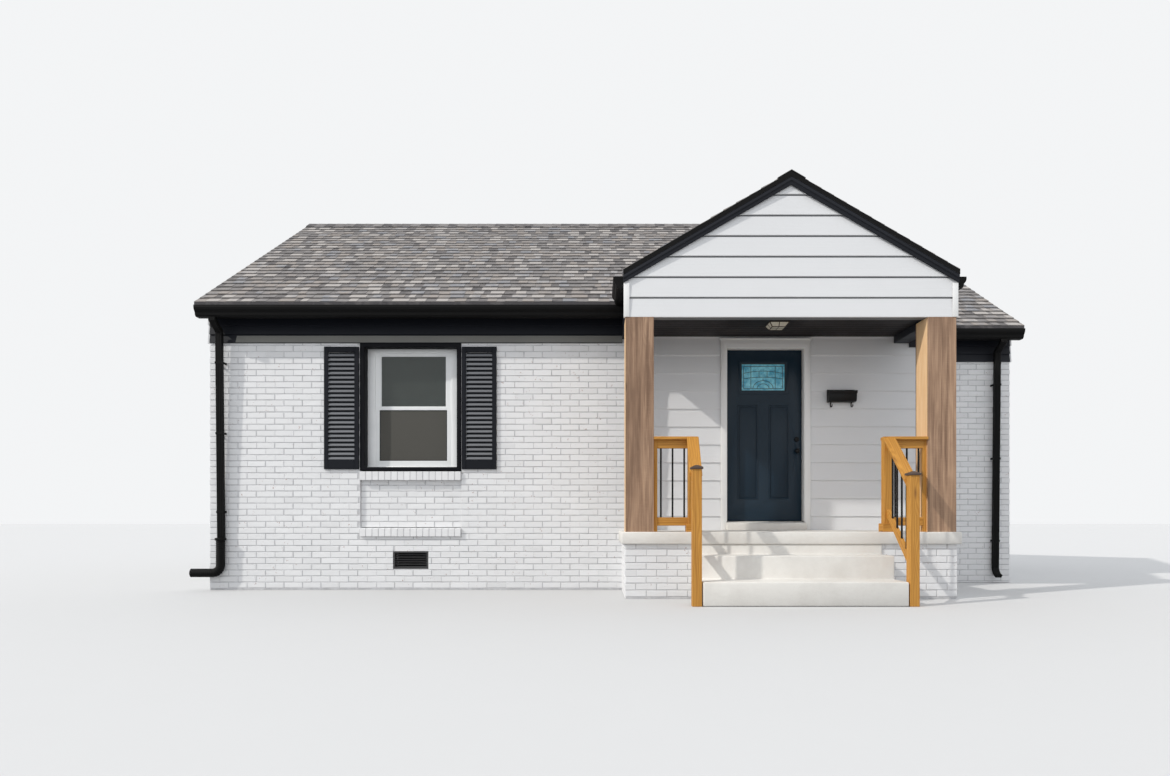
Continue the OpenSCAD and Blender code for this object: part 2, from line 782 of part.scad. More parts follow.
// Pipe with an offset from the gutter's outlet back to the wall
module spout_outline(foot) polygon([
    [-spout_out - spout_d / 2, spout_top], [-spout_out + spout_d / 2, spout_top],
    [-spout_out + spout_d / 2, spout_top - spout_stub], [-frieze_t - spout_lean, spout_neck],
    [-frieze_t, foot], [-frieze_t - spout_d, foot],
    [-frieze_t - spout_lean - spout_d, spout_neck - spout_fold],
    [-spout_out - spout_d / 2, spout_top - spout_stub - spout_fold]
]);

// Shoe that turns a downspout's foot away from the wall
module shoe_outline(foot) polygon([
    [-frieze_t, foot + shoe_h], [-frieze_t, foot + shoe_h - spout_d], [-frieze_t - shoe_reach, foot],
    [-frieze_t - spout_d - shoe_reach, foot + spout_d * 0.7], [-frieze_t - spout_d, foot + shoe_h]
]);

// Strap round the pipe at height z, its ends on the wall
module spout_strap(x, foot, z) {
    back = -frieze_t - spout_lean * (z - foot) / (spout_neck - foot);
    difference() {
        box(x - spout_w / 2 - strap_t, x + spout_w / 2 + strap_t, back - spout_d - strap_t, 0,
            z, z + strap_h);
        box(x - spout_w / 2, x + spout_w / 2, back - spout_d, over, z - over, z + strap_h + over);
    }
}

module spout(x, foot) {
    along_x(x - spout_w / 2, x + spout_w / 2) spout_outline(foot);
    for (share = strap_places) spout_strap(x, foot, foot + share * (spout_neck - foot));
}

module downspouts() color(gutter_black) at_origin() {
    spout(spout_x, collar_z);
    translate([0, wing_back, 0]) grounded_spout(house_w - wing_spout_x);
    translate([house_w, main_d, 0]) rotate([0, 0, 180])
        for (x = [spout_x, house_w - spout_x]) grounded_spout(x);
}

module grounded_spout(x) {
    spout(x, shoe_foot + shoe_h);
    along_x(x - spout_w / 2, x + spout_w / 2) shoe_outline(shoe_foot);
}

strap_t = 3;
strap_h = 25;
strap_places = [0.12, 0.5, 0.84];
shoe_foot = 60;

// Centre line of the drain elbow: down from the collar, a quarter bend, then out past the corner
bend_r = 90;
elbow_down = collar_z - elbow_z - bend_r;
elbow_out = spout_x - bend_r + elbow_reach;
bend_len = bend_r * PI / 2;
elbow_len = elbow_down + bend_len + elbow_out;
elbow_rib = 5;
elbow_pitch = 22;
elbow_rings = 2 * round(elbow_len / elbow_pitch);
elbow_sides = 12;
elbow_mouth = 80;
collar_h = 30;
collar_lap = 10;
collar_r = elbow_r + collar_lap;
collar_clear = 3;

// Turn of the centre line at the distance t along it: 0 is straight down, 90 is to the left
function elbow_turn(t) = max(0, min(90, 90 * (t - elbow_down) / bend_len));
function elbow_at(t) = t < elbow_down ? [spout_x, collar_z - t]
    : t < elbow_down + bend_len
        ? [spout_x - bend_r * (1 - cos(elbow_turn(t))), elbow_z + bend_r * (1 - sin(elbow_turn(t)))]
        : [spout_x - bend_r - (t - elbow_down - bend_len), elbow_z];
function elbow_ring(i) = let (
    t = elbow_len * i / elbow_rings, p = elbow_at(t), turn = elbow_turn(t), r = elbow_r - (i % 2) * elbow_rib
) [for (k = [0 : elbow_sides - 1]) let (a = 360 * k / elbow_sides)
    [p[0] + r * cos(a) * cos(turn), elbow_y + r * sin(a), p[1] - r * cos(a) * sin(turn)]];
elbow_y = -collar_r - collar_clear;

module elbow_tube() {
    rings = [for (i = [0 : elbow_rings]) each elbow_ring(i)];
    n = elbow_sides;
    skin = [for (i = [0 : elbow_rings - 1], k = [0 : n - 1]) let (m = (k + 1) % n)
        [i * n + k, i * n + m, (i + 1) * n + m, (i + 1) * n + k]];
    polyhedron(rings, concat(skin, [[for (k = [0 : n - 1]) n - 1 - k]],
        [[for (k = [0 : n - 1]) elbow_rings * n + k]]), convexity = 4);
}

module drain_elbow() color(gutter_black) at_origin() {
    difference() {
        elbow_tube();
        translate([-elbow_reach - over, elbow_y, elbow_z]) rotate([0, 90, 0])
            cylinder(r = elbow_r - 2 * elbow_rib, h = elbow_mouth, $fn = 24);
    }
    translate([spout_x, elbow_y, collar_z - collar_h]) cylinder(r = collar_r, h = collar_h);
}

module window_trim() color(night_blue) at_origin() at_faces(windows, win_z) difference() {
    box(-win_w / 2, win_w / 2, -trim_proud, wall_t, 0, win_h);
    box(-opening_w / 2, opening_w / 2, -trim_proud - over, wall_t + over, trim_head, win_h - trim_head);
}

module window_frames() color(trim_white) at_origin() at_faces(windows, win_z + trim_head) difference() {
    union() {
        box(-opening_w / 2, opening_w / 2, frame_in, frame_in + frame_d, 0, opening_h);
        along_x(-opening_w / 2, opening_w / 2) polygon([
            [frame_in - nose, 0], [frame_in, 0], [frame_in, frame_foot], [frame_in - nose, frame_foot * 0.6]
        ]);
    }
    box(-daylight_w / 2, daylight_w / 2, frame_in - nose - over, frame_in + frame_d + over,
        frame_foot, opening_h - frame_top);
}

// Reach of a frame's sloping foot in front of it
nose = 14;

// Lower sash in front or upper sash behind, as a rail and stile frame at depth y
module sash(y, z) difference() {
    box(-daylight_w / 2, daylight_w / 2, y, y + sash_t, z, z + sash_h);
    box(-daylight_w / 2 + stile_w, daylight_w / 2 - stile_w, y - over, y + sash_t + over,
        z + rail_h, z + sash_h - rail_h);
}

upper_y = frame_in + (frame_d - 2 * sash_t - sash_gap) / 2;
lower_y = upper_y + sash_t + sash_gap;
upper_z = frame_foot + daylight_h - sash_h;

module window_sashes() color(trim_white) at_origin() at_faces(windows, win_z + trim_head) {
    sash(upper_y, upper_z);
    sash(lower_y, frame_foot);
}

module pane(y, z) box(-daylight_w / 2 + stile_w, daylight_w / 2 - stile_w,
    y + (sash_t - glass_t) / 2, y + (sash_t + glass_t) / 2, z + rail_h, z + sash_h - rail_h);

module window_glass() color([0.35, 0.42, 0.45, 0.5]) at_origin() at_faces(windows, win_z + trim_head) {
    pane(upper_y, upper_z);
    pane(lower_y, frame_foot);
}

// Louvred shutter with its foot at z = 0 and its left edge at x = 0
module shutter() {
    field = shutter_h - shutter_top - shutter_foot;
    difference() {
        box(0, shutter_w, -shutter_t, 0, 0, shutter_h);
        box(shutter_stile, shutter_w - shutter_stile, -shutter_t - over, -shutter_back, shutter_foot,
            shutter_foot + field);
    }
    along_x(shutter_stile, shutter_w - shutter_stile)
        polygon(lap_points(shutter_foot, field / louvres, louvres, shutter_t - louvre_set, louvre_thin));
}

shutter_back = 6;
louvre_set = 2;
louvre_thin = 9;

module left_shutter() color(night_blue) at_origin()
    translate([win_x - win_w / 2 - shutter_gap - shutter_w, 0, win_z + shutter_up]) shutter();

module right_shutter() color(night_blue) at_origin()
    translate([win_x + win_w / 2 + shutter_gap, 0, win_z + shutter_up]) shutter();

module brick_sills() color(brick_white) at_origin() {
    at_faces(windows, win_z) sill_outline(-sill_h, sill_h);
    under_recess() sill_outline(-low_sill_h, low_sill_h);
}

module foundation_vents() color(gutter_black) at_origin() at_faces(vents, vent_z) {
    gap_h = vent_h - 2 * vent_rim;
    difference() {
        box(-vent_w / 2, vent_w / 2, 0, vent_d, 0, vent_h);
        box(-vent_w / 2 + vent_rim, vent_w / 2 - vent_rim, -over, vent_d + over,
            vent_rim, vent_h - vent_rim);
    }
    for (i = [0 : vent_slats - 1]) translate([0, 0, vent_rim + gap_h * (i + 0.5) / vent_slats])
        along_x(-vent_w / 2 + vent_rim, vent_w / 2 - vent_rim)
            polygon([[vent_in, -vent_lean], [vent_in + slat_t, -vent_lean],
                [vent_d / 2, 0], [vent_d / 2 - slat_t, 0]]);
}

vent_d = 60;
vent_in = 8;
vent_lean = 11;
slat_t = 4;

module porch_base() color(brick_white) at_origin() difference() {
    box(porch_left, porch_right, base_front, entry_y, 0, slab_z - slab_t);
    box(porch_left - over, entry_x, 0, entry_y + over, -over, slab_z);
}

module porch_slab() color(concrete) at_origin() difference() {
    box(porch_left - slab_lip, porch_right + slab_lip, base_front - slab_lip, entry_y,
        slab_z - slab_t, slab_z);
    box(porch_left - slab_lip - over, entry_x, 0, entry_y + over, slab_z - slab_t - over, slab_z + over);
}

module porch_steps() color(concrete) at_origin()
    along_x(stair_x - steps_w / 2, stair_x + steps_w / 2) polygon([
        [stair_front, 0], [base_front, 0], [base_front, slab_z - slab_t],
        [base_front - top_riser_t, slab_z - slab_t], [base_front - top_riser_t, 2 * riser],
        [stair_front + tread, 2 * riser],
        [stair_front + tread, riser], [stair_front, riser]
    ]);

module porch_posts() color(post_brown) at_origin() mirrored_about(porch_x)
    box(porch_left, porch_left + post_w, base_front, base_front + post_w, slab_z, post_top);

module porch_beams() color(night_blue) at_origin() difference() {
    intersection() {
        mirrored_about(porch_x)
            box(porch_left, porch_left + beam_w, base_front + porch_gable_t, entry_y, post_top, high);
        along_y(-porch_out, ridge_y) under_porch();
    }
    along_x(porch_left - over, porch_right + over) above_main_soffit();
    box(porch_left - over, entry_x, 0, entry_y + over, 0, high);
}

module porch_ceiling() color(night_blue) at_origin() difference() {
    box(porch_left + beam_w, porch_right - beam_w, base_front + porch_gable_t, entry_y,
        porch_ceiling_z, porch_ceiling_z + porch_ceiling_t);
    box(porch_left, porch_right, -eave_over, entry_y + over, eave_z - roof_t - seam, high);
}

module porch_gable() color(siding_white) at_origin() intersection() {
    union() {
        box(gable_left, gable_right, base_front + siding_butt, base_front + porch_gable_t, post_top, high);
        translate([0, base_front + siding_butt, 0]) along_x(gable_left, gable_right) polygon(lap_points(
            gable_joint_z - siding_exposure, siding_exposure,
            ceil((porch_ridge_z - gable_joint_z) / siding_exposure) + 1, siding_butt, siding_thin));
    }
    box(gable_left, gable_right, base_front, 0, post_top, high);
    along_y(-porch_out, 0) under_porch();
}

// Bent band under the porch roof's edge between two upright depths below its top
module rake_band(from, to) polygon([
    [porch_x - porch_half, porch_eave_z - from], [porch_x, porch_ridge_z - from],
    [porch_x + porch_half, porch_eave_z - from], [porch_x + porch_half, porch_eave_z - to],
    [porch_x, porch_ridge_z - to], [porch_x - porch_half, porch_eave_z - to]
]);

// Wide rake board with a narrow one on it under the shingles
module porch_rakes() color(gutter_black) at_origin() {
    along_y(base_front - board_t, base_front) rake_band(roof_t + seam, porch_rake_d);
    along_y(base_front - porch_rake + rake_set, base_front - board_t)
        rake_band(roof_t + seam, roof_t + rake_strip);
}

rake_set = 4;
rake_strip = 42;

module corner_boards() color(trim_white) at_origin() mirrored_about(porch_x) {
    box(gable_left - corner_t, gable_left + corner_w, base_front - siding_thin, base_front, post_top,
        porch_eave_z - porch_rake_d);
    box(gable_left - corner_t, gable_left, base_front, base_front + corner_w, post_top,
        porch_eave_z - roof_t);
}

// Square lantern that narrows downwards, on a ceiling plate
module porch_light() color(bronze) at_origin()
    translate([porch_x, (base_front + entry_y) / 2, porch_ceiling_z]) rotate([180, 0, 45])
        rotate_extrude($fn = 4) polygon([
            [0, 0], [light_corner, 0], [light_corner, light_plate_t],
            [light_foot_w / sqrt(2), light_h], [0, light_h]
        ]);

light_plate_t = 6;
light_corner = light_w / sqrt(2);

skirt_t = 19;
skirt_h = 86;
post_in = porch_left + post_w;
newel_left = porch_x - newel_x;
rail_start = rail_y - newel_w / 2;
rail_end = low_newel_y + newel_w / 2;

// Middle and lift of the lower newels, the right one's as mirrored to the left
left_newel = [porch_x - low_newel_x - stair_off, newel_lift];
right_newel = [porch_x - low_newel_x + stair_off, -newel_lift];

// Distance to the right of a sloping rail's middle line at the depth y, between its newels
function rail_x(low, y) = low[0] + (newel_left - low[0]) * (y - rail_end) / (rail_start - rail_end);

// Sloping rail between the newels: its top at a lower newel without lift and its upright depth
module stair_rail(low, top, depth, w) polyhedron(
    [for (end = [[rail_end, top + low[1]], [rail_start, top + rail_top - stair_rail_z]])
        each let (y = end[0], x = rail_x(low, y)) [
            [x - w / 2, y, end[1] - depth], [x + w / 2, y, end[1] - depth],
            [x + w / 2, y, end[1]], [x - w / 2, y, end[1]]
        ]],
    [[3, 2, 1, 0], [4, 5, 6, 7], [1, 5, 4, 0], [2, 6, 5, 1], [3, 7, 6, 2], [0, 4, 7, 3]]
);

module railing(low) {
    box(newel_left - newel_w / 2, newel_left + newel_w / 2, rail_y - newel_w / 2, rail_y + newel_w / 2,
        slab_z, rail_top);
    box(newel_left - newel_w / 2 - skirt_t, newel_left + newel_w / 2 + skirt_t,
        rail_y - newel_w / 2 - skirt_t, rail_y + newel_w / 2 + skirt_t, slab_z, slab_z + skirt_h);
    box(post_in, post_in + rail_t, rail_y - rail_t / 2, rail_y + rail_t / 2, slab_z, rail_top - rail_cap_t);
    box(post_in, newel_left, rail_y - rail_cap_w / 2, rail_y + rail_cap_w / 2,
        rail_top - rail_cap_t, rail_top);
    box(post_in, newel_left, rail_y - rail_t / 2, rail_y + rail_t / 2,
        rail_top - rail_cap_t - sub_rail_h, rail_top - rail_cap_t);
    box(post_in, newel_left, rail_y - rail_t / 2, rail_y + rail_t / 2,
        slab_z + rail_gap, slab_z + rail_gap + sub_rail_h);
    box(low[0] - newel_w / 2, low[0] + newel_w / 2, low_newel_y - newel_w / 2, low_newel_y + newel_w / 2,
        0, low_newel_h + low[1]);
    stair_rail(low, stair_rail_z, rail_cap_t, rail_cap_w);
    stair_rail(low, stair_rail_z - rail_cap_t, sub_rail_h, rail_t);
    stair_rail(low, stair_foot_z + sub_rail_h, sub_rail_h, rail_t);
}

// Mirrors its children about the porch's middle
module on_right() translate([2 * porch_x, 0, 0]) mirror([1, 0, 0]) children();

module left_railing() color(cedar) at_origin() railing(left_newel);

module right_railing() color(cedar) at_origin() on_right() railing(right_newel);

cap_corner = cap_side / sqrt(2);
level_count = round((newel_left - newel_w / 2 - post_in - rail_t) / baluster_step);
stair_count = floor((rail_start - rail_end) / baluster_step);

module side_balusters(low) {
    level_mid = (post_in + rail_t + newel_left - newel_w / 2) / 2;
    level_foot = slab_z + rail_gap + sub_rail_h;
    for (i = [0 : level_count - 1])
        translate([level_mid + (i - (level_count - 1) / 2) * baluster_step, rail_y, level_foot])
            cylinder(d = baluster_d, h = rail_top - rail_cap_t - sub_rail_h - level_foot, $fn = 24);
    for (i = [0 : stair_count - 1]) {
        y = (rail_start + rail_end) / 2 + (i - (stair_count - 1) / 2) * baluster_step;
        intersection() {
            translate([rail_x(low, y), y, 0]) cylinder(d = baluster_d, h = high, $fn = 24);
            stair_rail(low, stair_rail_z - rail_cap_t - sub_rail_h,
                stair_rail_z - rail_cap_t - 2 * sub_rail_h - stair_foot_z, rail_t);
        }
    }
}

module balusters() color(metal_black) at_origin() {
    side_balusters(left_newel);
    on_right() side_balusters(right_newel);
}

module newel_cap(low) translate([low[0], low_newel_y, low_newel_h + low[1]]) rotate([0, 0, 45])
    rotate_extrude($fn = 4) polygon([
        [0, 0], [cap_corner, 0], [cap_corner, cap_h / 2], [cap_corner / 4, cap_h], [0, cap_h]
    ]);

module newel_caps() color(gutter_black) at_origin() {
    newel_cap(left_newel);
    on_right() newel_cap(right_newel);
}

// Clear opening between the jambs and, in front of the leaf, between the stops
module door_opening(side_gap, y0, y1, z0) box(door_left - side_gap, door_right + side_gap, y0, y1, z0,
    leaf_top + side_gap);

module door_frame() color(trim_white) at_origin() difference() {
    union() {
        box(porch_x - jamb_half, porch_x + jamb_half, entry_y, entry_back, slab_z, jamb_top);
        box(porch_x - jamb_half - casing_w + jamb_t, porch_x + jamb_half + casing_w - jamb_t,
            entry_y - casing_t, entry_y, slab_z, leaf_top + leaf_gap + casing_top);
    }
    door_opening(leaf_gap, leaf_front - stop_gap, entry_back + over, slab_z - over);
    door_opening(-stop_lap, entry_y - casing_t - over, leaf_front, sill_top);
    box(door_left - leaf_gap, door_right + leaf_gap, entry_y - casing_t - over, leaf_front,
        slab_z - over, sill_top);
}

sill_top = leaf_z - leaf_gap;

module door_sill() color(concrete) at_origin() along_x(door_left - leaf_gap, door_right + leaf_gap) polygon([
    [entry_y - sill_nose, slab_z], [entry_back, slab_z], [entry_back, sill_top],
    [leaf_front - sill_drop, sill_top], [entry_y - sill_nose, sill_top - sill_drop]
]);

sill_nose = 90;
sill_drop = 20;

hinge_places = [180, 965, 1750];
hinge_third = hinge_h / 3;
hinge_leaf = 40;
hinge_t = 3;
knuckle_gap = 2;
end_play = 0.3;

module at_hinges() for (z = hinge_places) translate([hinge_x, hinge_y, leaf_z + z]) children();

// Knuckles and pin on the jamb side of each hinge
module door_hinges() color(metal_black) at_origin() at_hinges() {
    cylinder(r = pin_r, h = hinge_h);
    cylinder(r = knuckle_r, h = hinge_third - end_play);
    translate([0, 0, 2 * hinge_third + end_play]) cylinder(r = knuckle_r, h = hinge_third - end_play);
    for (dz = [0, 2 * hinge_third + end_play])
        box(-hinge_leaf, -knuckle_gap, -knuckle_r, -knuckle_r + hinge_t, dz, dz + hinge_third - end_play);
}

mail_z = slab_z + mail_up;
mail_pin_y = 9;
// Height of the lid's pin above the mailbox's back
mail_pin_up = 6;
mail_pin_z = mail_h + mail_pin_up;
mail_pin_r = 2.5;
mail_curl_r = 5.5;
mail_clear = 5;
mail_notch = 8;
mail_seat = 0.5;
mail_side = 1;
lid_fall = 8;
lid_skirt = 30;
hook_in = 34;
hook_w = 12;
hook_r = 32;

module at_mailbox() translate([porch_x + mail_x - mail_w / 2, entry_y, mail_z]) children();

// Turns the lid's shapes down to the front about its pin
module at_lid() translate([0, -mail_pin_y, mail_pin_z]) rotate([lid_fall, 0, 0]) children();

module lid_axis(x, r, length) translate([x, 0, 0]) rotate([0, 90, 0]) cylinder(r = r, h = length);

// Side outline of the box, its front rounded at the foot and bulged, set in by t
module mailbox_outline(t) polygon([
    [-t, t], [-mail_d * 0.72, t], [-mail_d * 0.88 + t / 2, mail_h * 0.07 + t / 2],
    [-mail_d * 0.97 + t, mail_h * 0.2], [-mail_d + t, mail_h * 0.42], [-mail_d + t, mail_h], [-t, mail_h]
]);

// Box with ears for the lid's pin and two hooks under it for a newspaper
module mailbox() color(metal_black) at_origin() at_mailbox() {
    difference() {
        along_x(0, mail_w) mailbox_outline(0);
        along_x(mail_t, mail_w - mail_t) mailbox_outline(mail_t);
        box(mail_t, mail_w - mail_t, -mail_d + mail_t, -mail_t, mail_h - over, mail_h + over);
        at_lid() box(-over, mail_w + over, -2 * mail_d, 2 * mail_pin_y, mail_h - mail_pin_z, mail_h);
    }
    for (x = [0, mail_w - mail_t])
        box(x, x + mail_t, -mail_pin_y - mail_curl_r, 0, mail_h - mail_notch, mail_pin_z + mail_curl_r);
    translate([0, -mail_pin_y, mail_pin_z]) lid_axis(0, mail_pin_r, mail_w);
    for (x = [hook_in, mail_w - hook_in - hook_w]) along_x(x, x + hook_w) hook_outline();
}

// Flat bar that curls forward and up under the box
module hook_outline() translate([-hook_r - mail_notch, mail_t - hook_r]) difference() {
    circle(r = hook_r, $fn = 32);
    circle(r = hook_r - mail_t - 1, $fn = 32);
    polygon([[0, 0], [hook_r * 0.4, 2 * hook_r], [-2 * hook_r, 2 * hook_r], [-2 * hook_r, -hook_r * 0.2]]);
}

// Lid plate that overhangs the box, with a front skirt and a curl round the pin
module mailbox_lid() color(metal_black) at_origin() at_mailbox() at_lid() {
    low = mail_h - mail_pin_z + mail_seat;
    front = -(mail_d - mail_pin_y + mail_clear + (lid_skirt - low) * sin(lid_fall)) / cos(lid_fall);
    difference() {
        union() {
            lid_axis(mail_t + mail_side, mail_curl_r, mail_w - 2 * mail_t - 2 * mail_side);
            box(mail_t + mail_side, mail_w - mail_t - mail_side, front, 0, low, low + mail_t);
            box(-mail_clear, mail_w + mail_clear, front - mail_t, -mail_curl_r - mail_notch,
                low, low + mail_t);
            box(-mail_clear, mail_w + mail_clear, front - mail_t, front,
                low - lid_skirt, low + mail_t);
        }
        lid_axis(0, mail_pin_r + pin_fit, mail_w);
    }
}

lite_top = leaf_top - lite_down;
rim_proud = 8;
panel_dip = 8;
panel_bead = 26;

module front_door() color(night_blue) at_origin() difference() {
    union() {
        box(door_left, door_right, leaf_front, leaf_back, leaf_z, leaf_top);
        at_hinges() translate([0, 0, hinge_third]) {
            cylinder(r = knuckle_r, h = hinge_third);
            box(knuckle_gap, hinge_leaf, -knuckle_r, -knuckle_r + hinge_t, 0, hinge_third);
        }
        at_lite(lite_rim, leaf_front - rim_proud, leaf_back);
    }
    at_hinges() cylinder(r = pin_r + pin_fit, h = hinge_h);
    at_lite(0, leaf_front - rim_proud - over, leaf_back + over);
    for (side = [-1, 1]) difference() {
        at_panel(side, 0, leaf_front - over, leaf_front + panel_dip);
        at_panel(side, panel_bead, leaf_front, leaf_front + panel_dip);
    }
    translate([door_right - backset, leaf_back + over, leaf_z + knob_up]) rotate([90, 0, 0])
        cylinder(r = spindle_r + pin_fit, h = leaf_t + 2 * over);
}

// Glass opening of the door, made larger all round by rim
module at_lite(rim, y0, y1) box(porch_x - lite_w / 2 - rim, porch_x + lite_w / 2 + rim, y0, y1,
    lite_top - lite_h - rim, lite_top + rim);

// Door panel on one side of the leaf's middle, set in by inset
module at_panel(side, inset, y0, y1) translate([porch_x + side * panel_off, 0, leaf_z + panel_up])
    box(inset - panel_w / 2, panel_w / 2 - inset, y0, y1, inset, panel_h - inset);

module door_lite() color([0.5, 0.7, 0.8, 0.6]) at_origin()
    at_lite(0, (leaf_front + leaf_back - lite_t) / 2, (leaf_front + leaf_back + lite_t) / 2);

knob_l = 60;

module knob_outline() polygon([
    [0, 0], [spindle_r, 0], [spindle_r, knob_l * 0.3], [knob_r * 0.75, knob_l * 0.43],
    [knob_r, knob_l * 0.6], [knob_r * 0.92, knob_l * 0.83], [knob_r * 0.6, knob_l * 0.97], [0, knob_l]
]);

module door_knob() color(metal_black) at_origin()
    translate([door_right - backset, leaf_front, leaf_z + knob_up]) {
        rotate([90, 0, 0]) rotate_extrude() knob_outline();
        translate([0, leaf_t, 0]) rotate([-90, 0, 0]) rotate_extrude() knob_outline();
        translate([0, leaf_t, 0]) rotate([90, 0, 0]) cylinder(r = spindle_r, h = leaf_t);
    }

module deadbolt() color(metal_black) at_origin()
    translate([door_right - backset, leaf_front, leaf_z + knob_up + bolt_up]) {
        rotate([90, 0, 0]) cylinder(r1 = bolt_r, r2 = bolt_r - bolt_bevel, h = bolt_rose);
        rotate([90, 0, 0]) cylinder(r = bolt_r / 2, h = bolt_rose + bolt_key);
    }

bolt_r = 30;
bolt_rose = 16;
bolt_bevel = 5;
bolt_key = 6;

house_floor();
house_ceiling();
front_wall();
left_wall();
back_wall();
right_wall();
wing_front_wall();
entry_foundation();
entry_wall_left();
entry_wall_right();
entry_wall_head();
left_gable();
right_gable();
main_right_gable();
roof_front();
roof_back();
wing_roof();
porch_roof();
ridge_caps();
eave_soffits();
fascias();
rake_boards();
frieze_boards();
eave_gutters();
porch_gutters();
downspouts();
drain_elbow();
window_trim();
window_frames();
window_sashes();
window_glass();
left_shutter();
right_shutter();
brick_sills();
foundation_vents();
porch_base();
porch_slab();
porch_steps();
porch_posts();
porch_beams();
porch_ceiling();
porch_gable();
porch_rakes();
corner_boards();
porch_light();
left_railing();
right_railing();
balusters();
newel_caps();
door_frame();
door_sill();
door_hinges();
mailbox();
mailbox_lid();
front_door();
door_lite();
door_knob();
deadbolt();
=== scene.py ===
"""Looks of a single-storey brick bungalow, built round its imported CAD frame.

Sizes are metres. House coordinates have x from the left brick face, y from the main front's brick face to the
back and z from the lowest ground; place() turns them into the part's own frame.
"""

import logging
import math
import random
from collections.abc import Callable, Iterable, Sequence
from dataclasses import dataclass, field
from enum import Enum

import bmesh
import bpy
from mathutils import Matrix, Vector


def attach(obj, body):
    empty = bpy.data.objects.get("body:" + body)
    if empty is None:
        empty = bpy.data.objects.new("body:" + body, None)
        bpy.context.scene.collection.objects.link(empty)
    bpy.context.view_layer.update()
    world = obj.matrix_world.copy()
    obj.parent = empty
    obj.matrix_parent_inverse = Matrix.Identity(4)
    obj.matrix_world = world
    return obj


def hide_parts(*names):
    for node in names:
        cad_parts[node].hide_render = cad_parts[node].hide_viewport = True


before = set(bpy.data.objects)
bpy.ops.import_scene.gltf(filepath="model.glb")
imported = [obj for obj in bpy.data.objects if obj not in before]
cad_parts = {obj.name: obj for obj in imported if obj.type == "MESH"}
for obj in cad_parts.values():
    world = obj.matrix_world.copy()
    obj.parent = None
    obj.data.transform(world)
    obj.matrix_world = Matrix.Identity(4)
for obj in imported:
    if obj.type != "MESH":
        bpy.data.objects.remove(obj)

log = logging.getLogger("bungalow")

Point = tuple[float, float, float]
Colour = tuple[float, float, float]
Rect = tuple[float, float, float, float]
Socket = bpy.types.NodeSocket

MID_X, MID_Y = 4.815, 2.40675
HOUSE, DOOR, KNOB, LID = "house", "front_door", "door_knob", "mailbox_lid"
SHARP = math.radians(28)  # copied edges above this angle are eased
SOFT = 40.0  # eased copies shade smoothly below this angle, in degrees


def place(x: float, y: float, z: float) -> Vector:
    """House coordinates as a point of the part's frame."""
    return Vector((x - MID_X, y - MID_Y, z))


def lift(z: float) -> Vector:
    """Offset straight up."""
    return Vector((0, 0, z))


def corners(r: Rect, inset: float = 0.0) -> list[tuple[float, float]]:
    """Corners of a (start, end, foot, top) rectangle drawn in all round, from its lower start on."""
    u0, u1, z0, z1 = r
    return [(u0 + inset, z0 + inset), (u1 - inset, z0 + inset), (u1 - inset, z1 - inset), (u0 + inset, z1 - inset)]


def border(r: Rect, sides: float, low: float, high: float) -> list[Rect]:
    """Two uprights and the two crosspieces between them, just inside a rectangle.

    Args:
        r: Outer rectangle.
        sides: Width of the uprights.
        low: Height of the lower crosspiece.
        high: Height of the upper crosspiece.

    Returns:
        Left, right, lower and upper piece.
    """
    a, b, c, d = r
    return [(a, a + sides, c, d), (b - sides, b, c, d), (a + sides, b - sides, c, c + low),
            (a + sides, b - sides, d - high, d)]


class Side(Enum):
    """Where a wall face looks, as its outward normal in plan."""

    FRONT = (0, -1)
    BACK = (0, 1)
    LEFT = (-1, 0)
    RIGHT = (1, 0)

    @property
    def normal(self) -> Vector:
        """Outward normal of the face."""
        return Vector((*self.value, 0))

    @property
    def run(self) -> Vector:
        """Direction along the face, to the right for someone who looks at it from outside."""
        x, y = self.value
        return Vector((-y, x, 0))


@dataclass(frozen=True)
class Wall:
    """A point on a wall, with the side that the wall faces."""

    origin: Vector
    side: Side

    def at(self, u: float, z: float, out: float) -> Vector:
        """Point at a distance along the wall, a height and a distance out of it, all from its origin."""
        return self.origin + self.side.run * u + self.side.normal * out + lift(z)


# ---- Meshes


